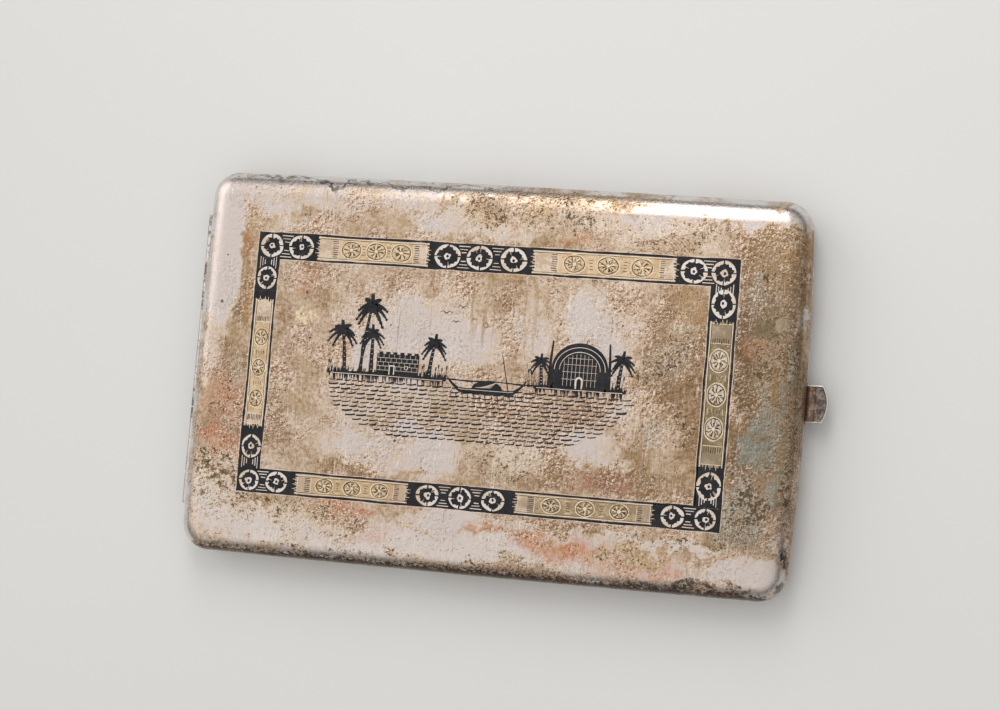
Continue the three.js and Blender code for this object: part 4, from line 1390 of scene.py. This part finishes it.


# Single scratches on the face: two ends of each, in the frame's own places
SCRATCHES = (
    (20.5, 20.6, 26, 16.6), (21.5, 20, 25, 17.2), (26, 18.5, 30.5, 16), (-3.2, 21, -3.6, 13),
    (-1.9, 20.5, -2, 16), (0.8, 20.6, -0.4, 15.5), (22.7, -12.6, 22.6, -16.8), (24.2, -12, 24.3, -16.2),
    (54.8, 33.6, 51.8, 28.2), (-23.4, 8, -21, 17), (7.4, 17, 6.8, 8.5), (-12, 20, -12.3, 10),
    (35, -4, 33.8, -13), (42, -3, 36.5, -9.5), (-35, -19, -28.5, -14), (53, -2, 57.5, -7),
    (-17, 30, -9, 36), (56.5, 12, 56.9, -20),
)


def make_ornament():
    make_border()
    make_picture()
    for number, (u, v, end_u, end_v) in enumerate(SCRATCHES):
        points = line((u, v), (end_u, end_v), 10, 0.35, number)
        scratches.stroke(points, 0.085, (0.6, 0.5), 0.8, number)
    ground = black.make()
    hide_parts("niello_border")
    others = (silver, flowers, eyes, panels, gilding, brown_cuts, light_cuts, burrs, flowers_pale)
    for inlay in (*others, ink, lights, scratches):
        inlay.make()


def tab_end(y):
    """How far out the thumb piece's bowed end reaches at a place across it."""
    share = 2 * y / TAB_WIDTH
    return CASE_LENGTH / 2 + TAB_REACH - TAB_BOW * share * share


def tab_height(x, y, top):
    """The top of the thumb piece: rounded edges, a swelling at its root, and a sunk pad with a rim."""
    edge = min(TAB_WIDTH / 2 - abs(y), tab_end(y) - x)
    height = top
    if edge < TAB_ROUND:
        height -= TAB_ROUND * (1 - sqrt(max(0.0, 1 - (1 - edge / TAB_ROUND) ** 2)))
    height += RIDGE_HEIGHT * exp(-(((x - TAB_RIDGE) / RIDGE_WIDTH) ** 2)) * min(1.0, edge / 0.5)
    if x > TAB_STEP:
        sunk = min(1.0, max(0.0, (edge - RIM_WIDTH) / RIM_SLOPE))
        height -= PAD_DEPTH * sunk * sunk * (3 - 2 * sunk) * min(1.0, (x - TAB_STEP) / 0.15)
    return height


def make_thumb_piece():
    """The sliding tongue: flat inside the case, and outside a brown ridge and a grey rimmed pad."""
    low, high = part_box("thumb_tongue")
    bottom, top = low[2] / MM, high[2] / MM
    half = TAB_WIDTH / 2
    wing = half + WING_WIDTH
    upper = [(TONGUE_END, half), (WING_END, half), (WING_END, wing), (low[0] / MM, wing)]
    plate = [(x, -y) for x, y in reversed(upper)] + upper
    vertices = [(x, y, z) for z in (bottom, top) for x, y in plate]
    piece = mesh_object("thumb_slide", vertices, lofted_faces(2, len(plate)), [TAB_METAL])
    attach(piece, "thumb_piece")
    cut(piece, box_solid((WINDOW_START, -WINDOW_HALF, bottom - 1), (WINDOW_END, WINDOW_HALF, top + 1)))
    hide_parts("thumb_tongue")
    make_thumb_pad(bottom, top)


def make_thumb_pad(bottom, top):
    """The part the thumb meets, as a fine grid over its bowed outline."""
    steps = 56
    width = steps + 1
    vertices, faces = [], []
    for row in range(width):
        y = TAB_WIDTH / 2 * sin(pi / 2 * (2 * row / steps - 1))
        for column in range(width):
            share = sin(pi / 2 * column / steps)
            x = TAB_ROOT + (tab_end(y) - TAB_ROOT) * share
            vertices.append((x, y, tab_height(x, y, top)))
        if row < steps:
            faces += bridge(row * width, (row + 1) * width, width, closed=False)

    # A skirt from the grid's edge down to the flat underside, bevelled at its foot
    loop = list(range(steps)) + [row * width + steps for row in range(steps)]
    loop += [width * width - 1 - column for column in range(steps)]
    loop += [row * width for row in range(steps, 0, -1)]
    count = len(loop)
    last = loop
    for inset, z in ((0.0, bottom + 0.12), (0.12, bottom)):
        start = len(vertices)
        for corner in loop:
            x, y, _ = vertices[corner]
            vertices.append((x - inset * (x > CASE_LENGTH / 2 + 1.5), y - copysign(inset, y), z))
        for index in range(count):
            after = (index + 1) % count
            faces.append((last[index], last[after], start + after, start + index))
        last = range(start, start + count)
    faces.append(tuple(last))
    pad = mesh_object("thumb_pad", vertices, faces, [TAB_METAL])
    shade_smooth(pad, 40.0)
    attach(pad, "thumb_piece")


def make_leaf_spring():
    """The leaf behind the tongue: a bent foot and an upright blade that narrows towards its top; the whole
    leaf stays put.
    """
    low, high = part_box("latch_spring")
    back, bottom = low[0] / MM, low[2] / MM
    toe, top = high[0] / MM, high[2] / MM
    half = (high[1] - low[1]) / 2 / MM
    thick = LEAF_THICKNESS / 2
    radius = LEAF_BEND - thick
    centre = (back + LEAF_BEND, bottom + LEAF_BEND)
    path = [(toe - (toe - centre[0]) * step / 4, bottom + thick, (0, 1)) for step in range(4)]
    for step in range(9):
        angle = (1.5 - step / 16) * pi
        out = (-cos(angle), -sin(angle))
        path.append((centre[0] - radius * out[0], centre[1] - radius * out[1], out))
    path += [(back + thick, centre[1] + (top - centre[1]) * step / 14, (1, 0)) for step in range(1, 15)]
    shy, low_edge = half - LEAF_BEVEL, thick - LEAF_BEVEL
    corners = ((shy, thick), (half, low_edge), (half, -low_edge), (shy, -thick))
    corners += tuple((-across, -out) for across, out in corners)
    vertices = []
    for x, z, out in path:
        narrow = 1 - LEAF_TAPER * max(0.0, z - centre[1]) / (top - centre[1])
        vertices += [(x + out[0] * reach, across * narrow, z + out[1] * reach) for across, reach in corners]
    leaf = mesh_object("leaf_spring", vertices, lofted_faces(len(path), len(corners)), [SPRING_BRASS])
    shade_smooth(leaf, 35.0)
    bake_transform(leaf)
    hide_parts("latch_spring")


def make_band():
    """Elastic webbing over the cigarettes' space: ribbed along it, and drawn in a little mid-way."""
    low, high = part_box("retaining_band")
    start, end = low[0] / MM, high[0] / MM
    half = (high[1] - low[1]) / 2 / MM
    middle = (low[2] + high[2]) / 2 / MM
    thick = (high[2] - low[2]) / 2 / MM - 0.04
    section = []
    for angle in (2 * pi * step / 28 for step in range(28)):
        across = copysign(abs(cos(angle)) ** 0.35, cos(angle))
        rise = copysign(abs(sin(angle)) ** 0.8, sin(angle))
        section.append((across, rise * (0.72 + 0.28 * cos(4 * pi * across) ** 2)))
    steps = 90
    vertices = []
    for share in (step / steps for step in range(steps + 1)):
        x = start + (end - start) * share
        waist = 1 - 0.06 * sin(pi * share) ** 0.6 + 0.012 * noise.noise(Vector((x * 0.12, 0, 0)))
        sway = 0.12 * noise.noise(Vector((x * 0.05, 4.0, 0)))
        for across, rise in section:
            vertices.append((x, sway + across * half * min(waist, 0.985), middle + rise * thick))
    faces = lofted_faces(steps + 1, len(section))
    band = mesh_object("elastic_webbing", vertices, faces, [woven_elastic()])
    shade_smooth(band, 60.0)
    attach(band, "base")
    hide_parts("retaining_band")


def dress_cad_nodes():
    """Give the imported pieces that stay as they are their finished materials."""
    gilt = ["base_bezel", "tongue_guide", "guide_rivet_1", "guide_rivet_2"]
    gilt += ["band_keeper_left", "band_keeper_right"]
    gilt += [f"keeper_rivet_{number}" for number in range(1, 5)]
    brass = ["hinge_pin", "spring_rivet"]
    finishes = ((INNER_GILT, gilt), (SPRING_BRASS, brass), (BARREL_SILVER, ["lid_catch"]))
    for material, nodes in finishes:
        for node in nodes:
            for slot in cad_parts[node].material_slots:
                slot.link = "OBJECT"
                slot.material = material


def make_camera():
    place = Vector(CAMERA_PLACE) * MM
    backward = (place - Vector(CAMERA_TARGET) * MM).normalized()
    right = Vector((0, 1, 0)).cross(backward).normalized()
    turn = Matrix.Rotation(radians(CAMERA_ROLL), 3, backward)
    right, up = turn @ right, turn @ backward.cross(right)
    data = bpy.data.cameras.new("camera")
    data.lens = CAMERA_LENS
    data.sensor_width = SENSOR_WIDTH
    data.clip_start = 0.01
    camera = add_object("camera", data)
    camera.matrix_world = Matrix((right, up, backward)).transposed().to_4x4()
    camera.location = place
    bpy.context.scene.camera = camera


def make_floor():
    corners = rectangle(-FLOOR_REACH, -FLOOR_REACH, 2 * FLOOR_REACH, 2 * FLOOR_REACH)
    floor = mesh_object("floor", [(x, y, 0.0) for x, y in corners], [(0, 1, 2, 3)], [pale_floor()])


def make_light():
    """Soft daylight from all round, dimmer near the ground, brighter in front and on the left."""
    world = bpy.data.worlds.new("studio")
    bpy.context.scene.world = world
    g = Graph(world, "Generated")
    height = g.axis("Z")
    glow = height.rise(0.14, 0.74, 0.14, 0.92) * g.axis("X").rise(-0.55, 0.05, 1.22, 0.98)
    glow = glow * g.axis("Y").rise(-0.8, 0.1, 1.12, 1.0)
    window = g.vector("DOT_PRODUCT", g.place, Vector((-0.86, 0.4, 0.3)).normalized())
    glow = glow + window.rise(0.86, 0.97, 0.0, 1.5) + height.rise(-0.02, -0.5, 0.0, 0.75)
    seen = g.make("ShaderNodeLightPath", (), "Is Camera Ray")
    strength = g.make("ShaderNodeMix", {0: seen, 2: glow, 3: 0.8})
    background = g.make("ShaderNodeBackground", {"Color": (1.0, 0.995, 0.985, 1.0), "Strength": strength})
    g.make("ShaderNodeOutputWorld", (background,))

    data = bpy.data.lights.new("back_key", "AREA")
    data.shape = "RECTANGLE"
    data.size, data.size_y = LAMP_SIDES
    data.energy = LAMP_POWER
    lamp = add_object("back_key", data)
    lamp.location = LAMP_PLACE
    lamp.rotation_euler = (Vector(LAMP_TARGET) - Vector(LAMP_PLACE)).to_track_quat("-Z", "Y").to_euler()


bpy.context.scene.view_settings.view_transform = "Standard"
make_camera()
make_floor()
make_light()
make_shells()
make_barrel()
make_ornament()
make_thumb_piece()
make_leaf_spring()
make_band()
dress_cad_nodes()
